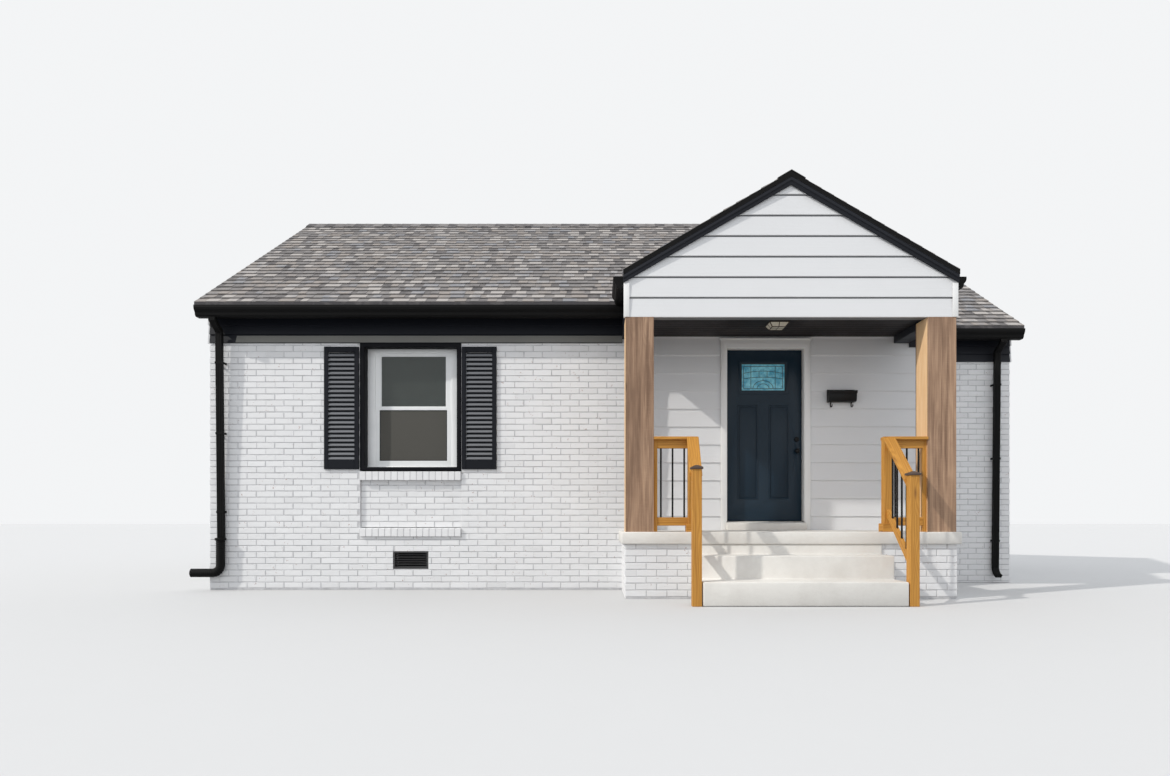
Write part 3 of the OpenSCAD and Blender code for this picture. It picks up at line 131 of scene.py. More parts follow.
@dataclass
class Shape:
    """Corners and faces of one piece, with a tone for each face and a grain coordinate for each corner."""

    corners: list[Vector] = field(default_factory=list)
    grain: list[Point] = field(default_factory=list)
    faces: list[tuple[int, ...]] = field(default_factory=list)
    tones: list[float] = field(default_factory=list)
    kinds: list[int] = field(default_factory=list)
    kind: int = 0

    def add(self, points: Sequence[Vector], faces: Iterable[Sequence[int]], tone: float = 0.5,
            grain: Sequence[Point] | None = None) -> None:
        """Adds a group of faces.

        Args:
            points: Corners of the group, in the part's frame.
            faces: Faces as indices into points.
            tone: Value from 0 to 1 that its finish turns into a shade.
            grain: Coordinates along, across and through a board; zero where left out.
        """
        base = len(self.corners)
        self.corners.extend(points)
        self.grain.extend(grain or [(0.0, 0.0, 0.0)] * len(points))
        for f in faces:
            self.faces.append(tuple(base + i for i in f))
            self.tones.append(tone)
            self.kinds.append(self.kind)

    def frustum(self, base: Sequence[Vector], top: Sequence[Vector], tone: float = 0.5) -> None:
        """Adds the top and the four sides between two quads, both counter-clockwise from outside."""
        self.add([*base, *top], [(4, 5, 6, 7), (0, 1, 5, 4), (1, 2, 6, 5), (2, 3, 7, 6), (3, 0, 4, 7)], tone)

    def prism(self, outline: Sequence[Vector], along: Vector, tone: float = 0.5) -> None:
        """Adds a closed prism.

        Args:
            outline: Plane outline, counter-clockwise for someone who looks in the direction along.
            along: Offset from that end to the other.
            tone: Shade of its faces.
        """
        n = len(outline)
        points = [*outline, *(p + along for p in outline)]
        sides = [(i, i + n, (i + 1) % n + n, (i + 1) % n) for i in range(n)]
        self.add(points, [tuple(range(n)), tuple(range(2 * n - 1, n - 1, -1)), *sides], tone)

    def board(self, start: Vector, end: Vector, width: Vector, depth: Vector, rng: random.Random,
              edge: float = 0.003) -> None:
        """Adds a timber with eased long edges whose grain runs from start to end.

        Args:
            start: Middle of one end.
            end: Middle of the other end.
            width: Vector over the full width.
            depth: Vector over the full depth.
            rng: Source of the offset that gives each timber its own grain.
            edge: Size of the eased edges.
        """
        w, d = width.length / 2, depth.length / 2
        wu, du = width.normalized(), depth.normalized()
        ring = [(-w + edge, -d), (w - edge, -d), (w, -d + edge), (w, d - edge),
                (w - edge, d), (-w + edge, d), (-w, d - edge), (-w, -d + edge)]
        if wu.cross(du).dot(end - start) < 0:
            ring.reverse()
        ends = [lambda a, b, p=p: p + wu * a + du * b for p in (start, end)]
        self.timber(ring, ends, (0.0, (end - start).length), rng)

    def timber(self, ring: Sequence[tuple[float, float]], ends: Sequence[Callable[[float, float], Vector]],
               along: Sequence[float], rng: random.Random, turned: bool = False) -> None:
        """Adds a timber between two ends of one section.

        Args:
            ring: Corners of the section, across and through the timber.
            ends: Turn a corner into a point of the first end and of the other.
            along: Where the ends lie along the grain.
            rng: Source of the offset that gives each timber its own grain, and of its tone.
            turned: Turns all the faces round.
        """
        n = len(ring)
        shift = [rng.uniform(0, 50) for _ in range(3)]
        points = [at(a, b) for at in ends for a, b in ring]
        grain = [(t + shift[0], a + shift[1], b + shift[2]) for t in along for a, b in ring]
        faces = [(i, (i + 1) % n, (i + 1) % n + n, i + n) for i in range(n)]
        faces += [tuple(range(n - 1, -1, -1)), tuple(range(n, 2 * n))]
        self.add(points, [f[::-1] for f in faces] if turned else faces, rng.random(), grain)

    def tube(self, rings: Sequence[Sequence[Vector]], closed: bool = True, tone: float = 0.5) -> None:
        """Adds a skin over rings of equal count, with flat ends where it is closed.

        Args:
            rings: Corners of each ring, counter-clockwise as seen from the ring after it.
            closed: Whether the ends get a face.
            tone: Shade of its faces.
        """
        n = len(rings[0])
        points = [p for ring in rings for p in ring]
        faces = [(r * n + i, r * n + (i + 1) % n, (r + 1) * n + (i + 1) % n, (r + 1) * n + i)
                 for r in range(len(rings) - 1) for i in range(n)]
        if closed:
            last = (len(rings) - 1) * n
            faces += [tuple(range(n - 1, -1, -1)), tuple(range(last, last + n))]
        self.add(points, faces, tone)

    def piece(self, name: str, finishes: "Finish | Sequence[Finish]", body: str = HOUSE,
              replaces: Sequence[str] = (), slot: str = "", smooth: float = 0.0) -> bpy.types.Object:
        """Makes the shape an object that rides on a body.

        Args:
            name: Name of the piece.
            finishes: Its finish, or one for each kind of face.
            body: CAD body that it moves with.
            replaces: CAD nodes that it stands for.
            slot: Not used.
            smooth: Edges below this angle, in degrees, shade smoothly; 0 keeps all flat.

        Returns:
            The new object.
        """
        mesh = bpy.data.meshes.new(name)
        mesh.from_pydata([tuple(c) for c in self.corners], [], self.faces)
        mesh.attributes.new("tone", "FLOAT", "FACE").data.foreach_set("value", self.tones)
        if any(g != (0.0, 0.0, 0.0) for g in self.grain[:64]):
            grain = mesh.attributes.new("grain", "FLOAT_VECTOR", "POINT")
            grain.data.foreach_set("vector", [v for g in self.grain for v in g])
        shaded(mesh, finishes, self.kinds, smooth)
        mesh.update()
        return ridden(mesh, body, replaces)


def shaded(mesh: bpy.types.Mesh, finishes: "Finish | Sequence[Finish]", kinds: Sequence[int], smooth: float) -> None:
    """Gives a mesh its finishes and its smooth or flat shading.

    Args:
        mesh: Mesh to change.
        finishes: Its finish, or one for each kind of face.
        kinds: Kind of each face.
        smooth: Edges below this angle, in degrees, shade smoothly; 0 keeps all flat.
    """
    mesh.materials.clear()
    for finish in [finishes] if isinstance(finishes, Finish) else finishes:
        mesh.materials.append(finish.material)
    mesh.polygons.foreach_set("material_index", kinds)
    mesh.polygons.foreach_set("use_smooth", [smooth > 0] * len(mesh.polygons))
    if smooth:
        mesh.set_sharp_from_angle(angle=math.radians(smooth))


def ridden(mesh: bpy.types.Mesh, body: str, replaces: Sequence[str] = ()) -> bpy.types.Object:
    """Makes a mesh an object of its name, lets it ride on a body and logs it.

    Args:
        mesh: Mesh of the object.
        body: CAD body that it moves with.
        replaces: CAD nodes that it stands for.

    Returns:
        The new object.
    """
    obj = bpy.data.objects.new(mesh.name, mesh)
    bpy.context.scene.collection.objects.link(obj)
    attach(obj, body)
    if replaces:
        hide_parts(*replaces)
    log.info("%s: %d faces on %s", obj.name, len(mesh.polygons), body)
    return obj


def dressed(finish: "Finish", *nodes: str) -> None:
    """Gives CAD nodes that keep their shape a better finish.

    Args:
        finish: Finish to give.
        nodes: Names of the nodes.
    """
    for node in nodes:
        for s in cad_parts[node].material_slots:
            s.material = finish.material
        log.info("%s: CAD shape in %s", node, finish.name)


def copied(node: str, finishes: "Finish | Sequence[Finish]", body: str = HOUSE, smooth: float = 0.0,
           ease: float = 0.0, second: Callable[[Vector], bool] = lambda normal: False) -> bpy.types.Object:
    """Stands a copy, with eased edges where asked for, in for a CAD node.

    Args:
        node: CAD node to copy.
        finishes: Its finish, or two where second() picks faces for the other one.
        body: CAD body that the copy moves with.
        smooth: Edges below this angle, in degrees, shade smoothly; 0 keeps all flat.
        ease: Width of the eased edges; 0 keeps the shape.
        second: Tells from a face's normal whether it takes the second finish.

    Returns:
        The new object.
    """
    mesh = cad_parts[node].data.copy()
    mesh.name = node + ("_eased" if ease else "_dressed")
    if ease:
        bm = bmesh.new()
        bm.from_mesh(mesh)
        bmesh.ops.remove_doubles(bm, verts=bm.verts, dist=1e-5)
        bmesh.ops.dissolve_limit(bm, angle_limit=math.radians(1), verts=bm.verts, edges=bm.edges)
        sharp = [e for e in bm.edges if e.is_manifold and e.calc_face_angle(0) > SHARP]
        bmesh.ops.bevel(bm, geom=sharp, offset=ease, segments=2, profile=0.5, affect="EDGES", clamp_overlap=True)
        bm.to_mesh(mesh)
        bm.free()
    shaded(mesh, finishes, [int(second(p.normal)) for p in mesh.polygons], smooth)
    return ridden(mesh, body, [node])


def softened(finish: "Finish", ease: float, *nodes: str, body: str = HOUSE, slot: str = "") -> None:
    """Stands copies with eased edges in for CAD nodes of one finish."""
    for node in nodes:
        copied(node, finish, body, SOFT, ease)


# ---- Finishes


class Graph:
    """A material's node tree, with short calls for the nodes that the finishes share."""

    def __init__(self, name: str) -> None:
        """Starts a material that has only a Principled shader.

        Args:
            name: Name of the material.
        """
        self.material = bpy.data.materials.new(name)
        self.material.use_nodes = True
        self.tree = self.material.node_tree
        self.shader = self.tree.nodes["Principled BSDF"]
        self.place = self.node("ShaderNodeTexCoord").outputs["Object"]

    def node(self, kind: str, **values: object) -> bpy.types.Node:
        """Adds a node; values name its properties, or its sockets with spaces as underscores.

        Args:
            kind: Type of the node.
            values: Values or sockets to link, by name.

        Returns:
            The new node.
        """
        made = self.tree.nodes.new(kind)
        for key, value in values.items():
            if hasattr(made, key):
                setattr(made, key, value)
            else:
                self.set(made.inputs[key.replace("_", " ")], value)
        return made

    def set(self, socket: Socket, value: object) -> None:
        """Links a socket's value, or sets it to a constant.

        Args:
            socket: Socket to feed.
            value: Socket, number or colour.
        """
        if isinstance(value, Socket):
            self.tree.links.new(value, socket)
        else:
            socket.default_value = (*value, 1.0) if socket.type == "RGBA" and len(value) == 3 else value

    def scaled(self, scale: Point, source: Socket | None = None) -> Socket:
        """Coordinates stretched by a factor in each direction."""
        return self.node("ShaderNodeMapping", Vector=source or self.place, Scale=scale).outputs[0]

    def noise(self, scale: float, detail: float = 3.0, rough: float = 0.55, source: Socket | None = None) -> Socket:
        """Value of a noise texture."""
        return self.node("ShaderNodeTexNoise", Vector=source or self.place, Scale=scale, Detail=detail,
                         Roughness=rough).outputs["Fac"]

    def attribute(self, name: str, output: str) -> Socket:
        """Value of a mesh attribute."""
        return self.node("ShaderNodeAttribute", attribute_name=name).outputs[output]

    def split(self, vector: Socket) -> Sequence[Socket]:
        """The three parts of a vector."""
        return self.node("ShaderNodeSeparateXYZ", Vector=vector).outputs

    def ramp(self, value: Socket, stops: Sequence[tuple[float, Colour]]) -> Socket:
        """Colour of a value on a scale of (place, colour) stops.

        Args:
            value: Value to look up.
            stops: Places from 0 to 1 with their colours.

        Returns:
            The colour.
        """
        made = self.node("ShaderNodeValToRGB", Fac=value)
        while len(made.color_ramp.elements) < len(stops):
            made.color_ramp.elements.new(1.0)
        for element, (at, colour) in zip(made.color_ramp.elements, stops):
            element.position, element.color = at, (*colour, 1.0)
        return made.outputs[0]

    def fit(self, value: Socket, low: float, high: float, new_low: float = 0.0, new_high: float = 1.0) -> Socket:
        """Value moved from one span to another and held inside it."""
        return self.node("ShaderNodeMapRange", Value=value, From_Min=low, From_Max=high, To_Min=new_low,
                         To_Max=new_high).outputs[0]

    def math(self, kind: str, a: object, b: object = 0.0) -> Socket:
        """Result of an operation on two values.

        Args:
            kind: Name of the operation.
            a: First number or socket.
            b: Second number or socket.

        Returns:
            The result.
        """
        made = self.node("ShaderNodeMath", operation=kind)
        self.set(made.inputs[0], a)
        self.set(made.inputs[1], b)
        return made.outputs[0]

    def mix(self, share: object, a: object, b: object, blend: str = "MIX") -> Socket:
        """Colour a with a share of colour b.

        Args:
            share: Number or socket from 0 to 1.
            a: Colour below.
            b: Colour above.
            blend: How b lies on a.

        Returns:
            The colour.
        """
        made = self.node("ShaderNodeMix", data_type="RGBA", blend_type=blend)
        self.set(made.inputs[0], share)
        self.set(made.inputs[6], a)
        self.set(made.inputs[7], b)
        return made.outputs[2]

    def over(self, value: Socket, low: float, high: float, share: float, a: object, b: object) -> Socket:
        """Colour a with a share of colour b where a value rises from low to high."""
        return self.mix(self.fit(value, low, high, 0.0, share), a, b)

    def bump(self, height: Socket, depth: float) -> Socket:
        """Normal for a height field of a depth in metres."""
        return self.node("ShaderNodeBump", Height=height, Distance=depth).outputs[0]

    def finish(self, colour: object, roughness: object, normal: Socket | None = None,
               **constants: float) -> bpy.types.Material:
        """Sets the shader's inputs and returns the material.

        Args:
            colour: Base colour.
            roughness: Roughness.
            normal: Normal of the relief.
            constants: Other inputs, with spaces as underscores.

        Returns:
            The material.
        """
        self.set(self.shader.inputs["Base Color"], colour)
        self.set(self.shader.inputs["Roughness"], roughness)
        if normal is not None:
            self.set(self.shader.inputs["Normal"], normal)
        for key, value in constants.items():
            self.shader.inputs[key.replace("_", " ")].default_value = value
        return self.material


@dataclass(frozen=True)
class Finish:
    """A surface finish; its material is made once and kept under its name."""

    name: str

    @property
    def material(self) -> bpy.types.Material:
        """The finish's material."""
        label = self.name + "_finish"
        return bpy.data.materials.get(label) or self.build(Graph(label))

    def build(self, g: Graph) -> bpy.types.Material:
        """Makes the material's nodes; every kind of finish has its own.

        Args:
            g: Node tree of the material.

        Returns:
            The material.
        """
        raise NotImplementedError


def lighter(colour: Colour, factor: float) -> Colour:
    """Colour made lighter or darker by a factor."""
    return tuple(min(1.0, c * factor) for c in colour)


@dataclass(frozen=True)
class BrickPaint(Finish):
    """Old brick under white masonry paint, with a shade of its own for each brick."""

    base: Colour = (0.83, 0.83, 0.835)
    shade: Colour = (0.66, 0.67, 0.69)
    chip: Colour = (0.42, 0.30, 0.27)

    def build(self, g: Graph) -> bpy.types.Material:
        """Mixes each brick's tone with stains, a few chips and a rough face.

        Args:
            g: Node tree of the material.

        Returns:
            The material.
        """
        tone = g.attribute("tone", "Fac")
        colour = g.ramp(tone, [(0.0, lighter(self.base, 0.93)), (0.12, lighter(self.base, 0.975)), (0.8, self.base),
                               (1.0, lighter(self.base, 1.03))])
        stain = g.fit(g.noise(0.9, 5), 0.42, 0.75, 0.0, 0.22)
        colour = g.mix(stain, colour, self.shade)
        fine = g.noise(95, 4, 0.65)
        flake = g.fit(g.math("MULTIPLY", g.noise(16, 2), g.noise(70, 3)), 0.41, 0.46)
        colour = g.mix(flake, colour, self.chip)
        height = g.math("ADD", fine, g.math("MULTIPLY", g.noise(22, 3), 1.6))
        return g.finish(colour, g.fit(fine, 0.3, 0.7, 0.55, 0.8), g.bump(height, 0.0022))


@dataclass(frozen=True)
class ShingleGrit(Finish):
    """Mineral granules on laminated shingles, in the blend that each tab's tone picks."""

    blend: tuple[Colour, ...] = ((0.095, 0.090, 0.094), (0.205, 0.191, 0.188), (0.280, 0.265, 0.260),
                                 (0.365, 0.326, 0.298), (0.268, 0.272, 0.292), (0.470, 0.438, 0.415))

    def build(self, g: Graph) -> bpy.types.Material:
        """Picks the tab's colour, breaks it up into granules and darkens each tab's head with printed and painted
        shade.

        Args:
            g: Node tree of the material.

        Returns:
            The material.
        """
        tone = g.attribute("tone", "Fac")
        spread = g.math("ADD", tone, g.fit(g.noise(9, 2), 0.3, 0.7, -0.09, 0.09))
        stops = [(i / len(self.blend), c) for i, c in enumerate(self.blend)]
        colour = g.ramp(spread, stops)
        grit = g.noise(420, 2, 0.8)
        colour = g.over(grit, 0.35, 0.65, 0.55, lighter_mix(g, colour, 0.72), lighter_mix(g, colour, 1.28))
        # Dark band near each tab's head, just under the next course's butts: partly the printed shadow line of
        # laminated shingles, partly painted shade under the butts.
        height = g.split(g.attribute("grain", "Vector"))[1]
        colour = g.over(height, 0.64, 0.82, 0.95, colour, lighter_mix(g, colour, 0.16))
        return g.finish(colour, 0.92, g.bump(grit, 0.0015), Specular_IOR_Level=0.25)


def lighter_mix(g: Graph, colour: Socket, factor: float) -> Socket:
    """Colour socket multiplied by a factor."""
    return g.mix(1.0, colour, (factor, factor, factor), "MULTIPLY")


@dataclass(frozen=True)
class BoardPaint(Finish):
    """Paint on smooth boards, with a faint brushed grain and soft dirt."""

    base: Colour = (0.85, 0.85, 0.84)
    dirt: float = 0.10
    roughness: float = 0.45
    stretch: Point = (1.6, 1.6, 70.0)
    sheen: float = 0.5

    def build(self, g: Graph) -> bpy.types.Material:
        """Streaks along the boards, clouds over them and a fine film texture.

        Args:
            g: Node tree of the material.

        Returns:
            The material.
        """
        streak = g.noise(1.0, 5, 0.6, g.scaled(self.stretch))
        cloud = g.noise(1.4, 4)
        colour = g.over(cloud, 0.45, 0.75, self.dirt, self.base, lighter(self.base, 0.72))
        colour = g.over(streak, 0.35, 0.65, self.dirt * 0.5, colour, lighter(self.base, 0.82))
        rough = g.fit(cloud, 0.3, 0.7, self.roughness - 0.07, self.roughness + 0.1)
        return g.finish(colour, rough, g.bump(streak, 0.0011), Specular_IOR_Level=self.sheen)


@dataclass(frozen=True)
class Coat(Finish):
    """A coat of one colour under clouds of a second one, with a gloss that follows the clouds; enamel if unchanged.

    The cloud and the relief are each the scale, detail and roughness of a noise. The veil is where the second colour
    starts to show in the cloud, where it shows most, and how much.
    """

    base: Colour
    roughness: float
    spread: float = 0.2
    gloss: tuple[float, float] = (0.35, 0.75)
    second: Colour | None = None
    shade: float = 2.2
    cloud: Point = (2.6, 5.0, 0.6)
    veil: Point = (0.5, 0.8, 0.35)
    relief: Point = (240.0, 2.0, 0.55)
    depth: float = 0.0003
    sheen: float = 0.32

    def build(self, g: Graph) -> bpy.types.Material:
        """Lays the clouds over the base colour and gives both the relief.

        Args:
            g: Node tree of the material.

        Returns:
            The material.
        """
        cloud = g.noise(*self.cloud)
        colour = g.over(cloud, *self.veil, self.base, self.second or lighter(self.base, self.shade))
        rough = self.roughness
        if self.spread:
            rough = g.fit(cloud, *self.gloss, self.roughness, self.roughness + self.spread)
        return g.finish(colour, rough, g.bump(g.noise(*self.relief), self.depth), Specular_IOR_Level=self.sheen)


@dataclass(frozen=True)
class CastConcrete(Finish):
    """Pale painted concrete, worn and speckled."""

    base: Colour = (0.74, 0.72, 0.68)
    worn: Colour = (0.52, 0.49, 0.45)

    def build(self, g: Graph) -> bpy.types.Material:
        """Lays clouds, stains and pinholes over the base colour.

        Args:
            g: Node tree of the material.

        Returns:
            The material.
        """
        cloud = g.noise(1.7, 6, 0.62)
        speck = g.noise(130, 3, 0.7)
        colour = g.over(cloud, 0.46, 0.78, 0.6, self.base, self.worn)
        colour = g.over(speck, 0.62, 0.75, 0.5, colour, self.worn)
        height = g.math("ADD", speck, g.math("MULTIPLY", g.noise(24, 4), 1.5))
        return g.finish(colour, g.fit(cloud, 0.3, 0.7, 0.62, 0.85), g.bump(height, 0.002))


@dataclass(frozen=True)
class Timber(Finish):
    """Stained timber whose rings and fibres follow each board's grain coordinates."""

    light: Colour = (0.72, 0.36, 0.085)
    dark: Colour = (0.42, 0.17, 0.035)
    knot: Colour = (0.16, 0.06, 0.02)
    ring: float = 38.0
    patches: float = 0.25
    figure: float = 0.42
    streaks: float = 0.2

    def build(self, g: Graph) -> bpy.types.Material:
        """Builds rings, fibres, knots and stain patches along the grain.

        Args:
            g: Node tree of the material.

        Returns:
            The material.
        """
        grain = g.attribute("grain", "Vector")
        warp = g.noise(1.0, 2, 0.5, g.scaled((1.1, 7.0, 7.0), grain))
        knots = g.node("ShaderNodeTexVoronoi", Vector=g.scaled((1.5, 6.0, 6.0), grain), Scale=1.0).outputs["Distance"]
        near = g.fit(knots, 0.03, 0.34, 1.0, 0.0)
        across = g.split(grain)
        phase = g.math("ADD", g.math("MULTIPLY", g.math("ADD", across[1], across[2]), self.ring),
                       g.math("ADD", g.math("MULTIPLY", warp, 5.0), g.math("MULTIPLY", near, 2.2)))
        rings = g.fit(g.math("SINE", g.math("MULTIPLY", phase, 6.2832)), -0.9, 1.0)
        fibre = g.noise(1.0, 3, 0.65, g.scaled((2.2, 190.0, 190.0), grain))
        saw = g.noise(1.0, 2, 0.6, g.scaled((90.0, 9.0, 9.0), grain))
        share = g.math("ADD", g.math("MULTIPLY", rings, self.figure), g.fit(fibre, 0.34, 0.66, 0.0, 0.58))
        colour = g.mix(share, self.light, self.dark)
        streak = g.noise(1.0, 3, 0.6, g.scaled((1.1, 21.0, 21.0), grain))
        colour = g.over(streak, 0.42, 0.68, self.streaks, colour, lighter(self.dark, 0.75))
        colour = g.over(saw, 0.5, 0.8, self.patches * 0.12, colour, lighter(self.light, 1.3))
        colour = g.over(g.math("POWER", near, 4.0), 0.2, 0.75, 0.9, colour, self.knot)
        stain = g.noise(1.0, 4, 0.55, g.scaled((0.9, 4.0, 4.0), grain))
        colour = g.over(stain, 0.42, 0.72, self.patches, colour, lighter(self.dark, 0.7))
        tone = g.attribute("tone", "Fac")
        colour = g.over(tone, 0.0, 1.0, 0.18, colour, lighter(self.light, 0.8))
        height = g.math("ADD", g.math("MULTIPLY", rings, 0.5), g.math("ADD", fibre, g.math("MULTIPLY", saw, 0.5)))
        return g.finish(colour, g.fit(fibre, 0.3, 0.7, 0.5, 0.7), g.bump(height, 0.0012), Specular_IOR_Level=0.35)


@dataclass(frozen=True)
class PaneGlass(Finish):
    """Clear window glass over a dim room."""

    tint: Colour = (0.40, 0.46, 0.43)
    roughness: float = 0.02

    def build(self, g: Graph) -> bpy.types.Material:
        """Lets light through and gives the pane its slight waves.

        Args:
            g: Node tree of the material.

        Returns:
            The material.
        """
        wave = g.noise(2.2, 2)
        streaks = g.fit(g.noise(6, 4), 0.45, 0.8, 0.0, 0.25)
        colour = g.mix(streaks, self.tint, lighter(self.tint, 0.8))
        return g.finish(colour, self.roughness, g.bump(wave, 0.004), Transmission_Weight=0.92, IOR=1.45)


@dataclass(frozen=True)
class ObscureGlass(Finish):
    """Hammered blue-green glass of the door."""

    light: Colour = (0.32, 0.86, 1.0)
    deep: Colour = (0.06, 0.40, 0.60)

    def build(self, g: Graph) -> bpy.types.Material:
        """Mixes two depths of colour over a hammered surface.

        Args:
            g: Node tree of the material.

        Returns:
            The material.
        """
        cells = g.node("ShaderNodeTexVoronoi", Vector=g.place, Scale=62.0, feature="SMOOTH_F1").outputs["Distance"]
        swirl = g.noise(14, 3, 0.6)
        share = g.math("ADD", g.fit(swirl, 0.35, 0.65, 0.0, 0.8), g.math("MULTIPLY", cells, 0.3))
        colour = g.mix(share, self.light, self.deep)
        return g.finish(colour, 0.16, g.bump(cells, 0.003), IOR=1.5)


@dataclass(frozen=True)
class InsectMesh(Finish):
    """Fine charcoal mesh of a window screen."""

    base: Colour = (0.070, 0.067, 0.057)
    pitch: float = 2600.0

    def build(self, g: Graph) -> bpy.types.Material:
        """Weaves two sets of wires into the surface.

        Args:
            g: Node tree of the material.

        Returns:
            The material.
        """
        xyz = g.split(g.place)
        level = g.math("ADD", xyz[0], xyz[1])
        wires = [g.fit(g.math("SINE", g.math("MULTIPLY", v, self.pitch)), -1.0, 1.0) for v in (level, xyz[2])]
        weave = g.math("MAXIMUM", *wires)
        colour = g.over(weave, 0.2, 0.9, 1.0, lighter(self.base, 0.55), lighter(self.base, 1.25))
        return g.finish(colour, 0.6, g.bump(weave, 0.0006))


@dataclass(frozen=True)
class StripFloor(Finish):
    """Oak strip floor that runs from front to back."""

    base: Colour = (0.36, 0.20, 0.09)
    strip: float = 0.083

    def build(self, g: Graph) -> bpy.types.Material:
        """Varies the colour from strip to strip and cuts the joints.

        Args:
            g: Node tree of the material.

        Returns:
            The material.
        """
        xyz = g.split(g.place)
        across = g.math("DIVIDE", xyz[0], self.strip)
        shade = g.node("ShaderNodeTexWhiteNoise", noise_dimensions="1D", W=g.math("FLOOR", across)).outputs["Value"]
        joint = g.fit(g.math("ABSOLUTE", g.math("SUBTRACT", g.math("FRACT", across), 0.5)), 0.47, 0.5)
        figure = g.noise(1.0, 4, 0.6, g.scaled((90.0, 3.0, 3.0)))
        colour = g.over(figure, 0.3, 0.7, 0.5, self.base, lighter(self.base, 0.6))
        colour = g.mix(g.math("MULTIPLY", shade, 0.4), colour, lighter(self.base, 1.5))
        colour = g.mix(joint, colour, lighter(self.base, 0.2))
        return g.finish(colour, 0.35, g.bump(g.math("SUBTRACT", figure, joint), 0.001))


BRICK = BrickPaint("painted_brick")
# Grey of the mortar joints, darker than the brick's white though both bear the same masonry paint: painted shade in
# the recessed joints, with darker clouds over it.
SHADED_JOINT = Coat("joint_painted_shade", base=(0.66, 0.66, 0.67), second=(0.46, 0.46, 0.47), cloud=(5.0, 5.0, 0.7),
             veil=(0.38, 0.68, 0.9), roughness=0.85, spread=0.0, relief=(160.0, 4.0, 0.7), depth=0.0015, sheen=0.5)
GRIT = ShingleGrit("shingle_grit")
SIDING = BoardPaint("siding_white", base=(0.76, 0.765, 0.775), dirt=0.10)
# Dark grey for the backing that shows in the gaps between lap boards: painted shade in the laps.
PAINTED_LAP_SHADE = BoardPaint("lap_gap_painted_shade", base=(0.19, 0.195, 0.205), sheen=0.1)
WHITE_TRIM = BoardPaint("trim_white", base=(0.84, 0.84, 0.83), dirt=0.08, roughness=0.4)
DARK_TRIM = BoardPaint("trim_night_blue", base=(0.0085, 0.0105, 0.0165), dirt=0.4, roughness=0.5, sheen=0.3)
SURROUND_PAINT = BoardPaint("surround_black", base=(0.0030, 0.0035, 0.0060), dirt=0.3, roughness=0.5, sheen=0.15)
# Grey of the frieze's lowest course: painted light on the dark frieze paint.
LOW_FRIEZE_PAINTED_LIGHT = BoardPaint("frieze_painted_light", base=(0.175, 0.175, 0.160), dirt=0.6, roughness=0.5)
SHUTTER_PAINT = BoardPaint("shutter_charcoal", base=(0.0100, 0.0115, 0.0160), dirt=0.5, sheen=0.15)
# Charcoal of the louvres, far lighter than the frame's charcoal: a painted sheen of the sky on the louvres' upturned
# faces.
LOUVRE_SHEEN_PAINT = BoardPaint("louvre_painted_sheen", base=(0.170, 0.176, 0.190), dirt=0.4, roughness=0.38)
DOOR_PAINT = BoardPaint("door_navy", base=(0.009, 0.024, 0.041), dirt=0.15, roughness=0.36,
                        stretch=(60.0, 60.0, 1.5), sheen=0.3)
CEILING_PAINT = BoardPaint("ceiling_dark", base=(0.016, 0.013, 0.014), dirt=0.5, roughness=0.55, sheen=0.2)
GUTTER = Coat("gutter_black", base=(0.0045, 0.0045, 0.0046), roughness=0.45, sheen=0.14)
VENT_METAL = Coat("vent_metal", base=(0.05, 0.05, 0.052), roughness=0.5)
BLACK_METAL = Coat("black_metal", base=(0.0060, 0.0060, 0.0066), roughness=0.36, sheen=0.25)
CAP_METAL = Coat("newel_cap_metal", base=(0.085, 0.060, 0.050), roughness=0.36)
LAMP_METAL = Coat("lamp_bronze", base=(0.055, 0.035, 0.022), roughness=0.38)
CONCRETE = CastConcrete("pale_concrete")
POST_TIMBER = Timber("post_timber", light=(0.560, 0.368, 0.240), dark=(0.205, 0.114, 0.070),
                     knot=(0.055, 0.026, 0.014), ring=9.0, patches=0.8, figure=0.2, streaks=0.9)
# Lighter, oranger copy of the post timber for the posts' side boards: painted sunlight on the posts' sides.
POST_SIDE_PAINTED_LIGHT = Timber("post_side_timber_painted_light", light=(0.97, 0.70, 0.42), dark=(0.80, 0.45, 0.20),
                          knot=(0.16, 0.07, 0.03), ring=13.0, patches=0.35, figure=0.2)
RAIL_TIMBER = Timber("rail_timber", light=(0.68, 0.34, 0.065), dark=(0.40, 0.165, 0.026))
VINYL = Coat("window_vinyl", base=(0.86, 0.87, 0.87), shade=0.8, cloud=(5.0, 4.0, 0.55), veil=(0.5, 0.75, 0.2),
             roughness=0.28, spread=0.14, gloss=(0.3, 0.7), relief=(300.0, 2.0, 0.55), depth=0.0002, sheen=0.5)
GLASS = PaneGlass("window_pane")
DOOR_GLASS = ObscureGlass("door_glass")
LEAD = Coat("lead_came", base=(0.05, 0.06, 0.07), roughness=0.45)
SCREEN = InsectMesh("screen_mesh")
SCREEN_RIM = Coat("screen_rim", base=(0.030, 0.032, 0.034), roughness=0.5)
PLASTER = Coat("room_plaster", base=(0.62, 0.60, 0.56), shade=0.85, cloud=(1.2, 3.0, 0.55), veil=(0.4, 0.7, 0.3),
               roughness=0.8, spread=0.0, relief=(180.0, 3.0, 0.55), depth=0.0004, sheen=0.5)
OAK = StripFloor("oak_floor")
LAMP_GLASS = Coat("lamp_glass", base=(0.80, 0.75, 0.62), shade=0.7, cloud=(28.0, 4.0, 0.55), veil=(0.35, 0.7, 0.5),
                  roughness=0.2, spread=0.0, relief=(28.0, 4.0, 0.55), depth=0.002, sheen=0.5)


# ---- Sizes shared by several parts


